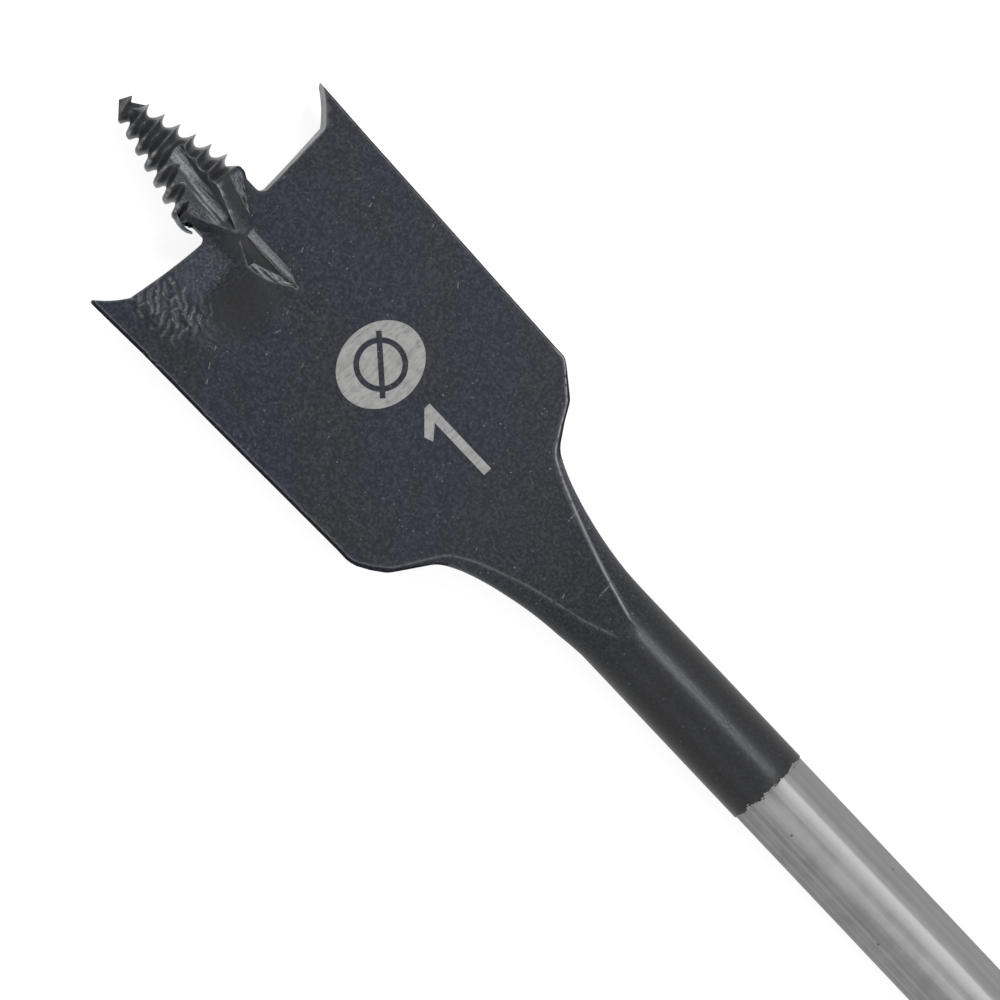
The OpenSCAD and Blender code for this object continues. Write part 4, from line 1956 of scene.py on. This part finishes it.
@dataclass
class CoatNibs:
    """Small nibs of grit that are caught in the coat."""

    per_square_mm: float = 0.42
    radius: float = 0.055
    flatness: float = 0.35
    least_size: float = 0.35
    size_range: float = 1.1
    clear_of_end: float = 0.6
    seed: int = 11

    def tree(self, finish: bpy.types.Material) -> bpy.types.GeometryNodeTree:
        """Makes the tree that scatters nibs over a surface.

        Args:
            finish: The nibs' material.

        Returns:
            The tree, with the surface and the nibs' density, sizes and seed as its inputs.
        """
        floats = dict.fromkeys(("Density", "Radius", "Flatness", "Coat End"), "NodeSocketFloat")
        sockets = {"Surface": "NodeSocketGeometry", **floats, "Seed": "NodeSocketInt"}
        loom = GeometryLoom.begin("coat_nibs", sockets)
        given = loom.given
        x, _, _ = loom.position()
        points = loom.node("GeometryNodeDistributePointsOnFaces", {
            "Mesh": given["Surface"],
            "Density": given["Density"] * x.above(given["Coat End"]),
            "Seed": given["Seed"],
        })
        chance = loom.wire("FunctionNodeRandomValue", "Value", data_type="FLOAT")
        size = self.least_size + self.size_range * (chance * chance * chance)
        nib = loom.wire("GeometryNodeMeshIcoSphere", "Mesh", {"Radius": given["Radius"], "Subdivisions": 1})
        height = size * given["Flatness"]
        scale = loom.wire("ShaderNodeCombineXYZ", "Vector", {"X": size, "Y": size, "Z": height})
        placed = loom.wire("GeometryNodeInstanceOnPoints", "Instances", {
            "Points": Wire(loom.tree, points.outputs["Points"]),
            "Instance": nib,
            "Rotation": Wire(loom.tree, points.outputs["Rotation"]),
            "Scale": scale,
        })
        return loom.finish(placed, finish)

    def build(self, bit: bpy.types.Object, coat_end: float) -> bpy.types.Object:
        """Scatters nibs over the coated part of the bit.

        Args:
            bit: The bit that carries them.
            coat_end: Place along the axis where the coat ends, in millimetres.

        Returns:
            The nibs as one piece.
        """
        nibs = make_object("coat_nibs", bit.data.copy())
        run_tree(nibs, self.tree(CoatGrit().material()), {
            "Density": self.per_square_mm / MM**2,
            "Radius": self.radius * MM,
            "Flatness": self.flatness,
            "Coat End": (coat_end + self.clear_of_end) * MM,
            "Seed": self.seed,
        })
        return nibs


# The studio


@dataclass(frozen=True)
class Softbox:
    """One square studio lamp that points at the bit."""

    name: str
    direction: tuple[float, float, float]
    distance: float
    size: float
    watts: float

    def build(self, target: Vector) -> None:
        """Places the lamp.

        Args:
            target: What it points at, in metres.
        """
        data = bpy.data.lights.new(self.name, "AREA")
        data.shape = "SQUARE"
        data.size = self.size
        data.energy = self.watts
        lamp = bpy.data.objects.new(self.name, data)
        bpy.context.scene.collection.objects.link(lamp)
        away = Vector(self.direction).normalized()
        lamp.location = target + away * self.distance
        lamp.rotation_mode = "QUATERNION"
        lamp.rotation_quaternion = away.to_track_quat("Z", "Y")


@dataclass
class Studio:
    """Pale floor, soft lamps and the camera over the bit."""

    bar: Bar
    frame_mm: float = 79.6
    middle_at: float = 44.0
    middle_y: float = -0.18
    axis_angle: float = math.radians(133.35)
    camera_roll: float = math.radians(4.5)
    camera_distance: float = 0.36
    sensor: float = 36.0
    floor_size: float = 3.0
    floor_tone: float = 0.34
    floor_glow: float = 0.86
    sky_top: float = 0.16
    sky_rim: float = 0.50
    lamps: tuple[Softbox, ...] = (
        Softbox("key_lamp", (0.05, -0.56, 0.95), 0.55, 0.125, 0.95),
        Softbox("back_lamp", (-0.6, -0.05, 0.8), 0.60, 0.40, 1.0),
        Softbox("side_lamp", (-0.3, 0.9, 0.5), 0.60, 0.45, 0.25),
        Softbox("tip_lamp", (0.95, 0.1, 0.55), 0.60, 0.40, 0.4),
    )

    def target(self) -> Vector:
        """The point in the middle of the picture."""
        return Vector((self.bar.from_point(self.middle_at), self.middle_y, 0.0)) * MM

    def camera(self) -> None:
        """Places the camera straight over the bit, with the point to the picture's upper left."""
        data = bpy.data.cameras.new("camera")
        data.sensor_width = self.sensor
        data.lens = self.sensor * self.camera_distance / (self.frame_mm * MM)
        data.clip_start = 0.01
        view = bpy.data.objects.new("camera", data)
        bpy.context.scene.collection.objects.link(view)
        c, s = math.cos(self.axis_angle), math.sin(self.axis_angle)
        upright = Matrix(((c, s, 0), (-s, c, 0), (0, 0, 1)))
        pose = Matrix.Rotation(-self.camera_roll, 3, "X") @ upright
        stand = self.target() + pose.col[2] * self.camera_distance
        view.matrix_world = Matrix.Translation(stand) @ pose.to_4x4()
        bpy.context.scene.camera = view

    def floor(self, height: float) -> None:
        """Makes the pale floor that the bit lies on.

        Args:
            height: Height of the floor in metres.
        """
        half = self.floor_size / 2
        mesh = bpy.data.meshes.new("floor")
        corners = [(-half, -half, height), (half, -half, height), (half, half, height), (-half, half, height)]
        mesh.from_pydata(corners, [], [(0, 1, 2, 3)])
        loom = ShaderLoom.begin("pale_floor")
        path = loom.node("ShaderNodeLightPath")
        seen = Wire(loom.tree, path.outputs["Is Camera Ray"])
        for name in ("Is Glossy Ray", "Is Transmission Ray"):
            seen = seen.most(Wire(loom.tree, path.outputs[name]))
        tone = (self.floor_tone, self.floor_tone, self.floor_tone, 1.0)
        paint = loom.wire("ShaderNodeBsdfDiffuse", "BSDF", {"Color": tone})
        glow = loom.wire("ShaderNodeEmission", "Emission", {"Strength": seen * self.floor_glow})
        both = loom.node("ShaderNodeAddShader")
        feed(both.inputs[0], paint)
        feed(both.inputs[1], glow)
        loom.node("ShaderNodeOutputMaterial", {"Surface": Wire(loom.tree, both.outputs[0])})
        mesh.materials.append(loom.material)
        make_object("floor", mesh)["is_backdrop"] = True

    def sky(self) -> None:
        """Sets the even light of the room."""
        world = bpy.data.worlds.new("room")
        bpy.context.scene.world = world
        world.use_nodes = True
        world.node_tree.nodes.clear()
        loom = Loom(world.node_tree)
        path = loom.node("ShaderNodeLightPath")
        seen = Wire(loom.tree, path.outputs["Is Camera Ray"])
        _, _, height = loom.split(loom.wire("ShaderNodeTexCoord", "Generated"))
        tone = self.sky_rim + height.ease(0.15, 0.95) * (self.sky_top - self.sky_rim)
        strength = tone + seen * (1.0 - tone)
        light = loom.wire("ShaderNodeBackground", "Background", {"Color": (1, 1, 1, 1), "Strength": strength})
        loom.node("ShaderNodeOutputWorld", {"Surface": light})

    def build(self, floor_height: float) -> None:
        """Sets up the whole studio.

        Args:
            floor_height: Height of the floor in metres.
        """
        self.floor(floor_height)
        self.sky()
        for lamp in self.lamps:
            lamp.build(self.target())
        self.camera()
        bpy.context.scene.view_settings.view_transform = "Standard"


def carry(piece: bpy.types.Object) -> None:
    """Makes a piece ride on the bit's body and logs its face count.

    Args:
        piece: The piece.
    """
    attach(piece, BODY)
    LOG.info("%s: %d faces", piece.name, len(piece.data.polygons))


def main() -> None:
    """Builds the bit, its marks and the studio in order."""
    logging.basicConfig(level=logging.INFO, format="%(name)s %(message)s")
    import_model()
    cad_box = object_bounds()
    bar = Bar.from_frame()
    bit = SpadeBit(bar).build()
    carry(bit)
    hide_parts(NODE)
    for mark in FaceMarks(bar).build():
        carry(mark)
    carry(CoatNibs().build(bit, bar.hex_len))
    Studio(bar).build(min(cad_box[0].z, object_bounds()[0].z))


if __name__ == "__main__":
    main()
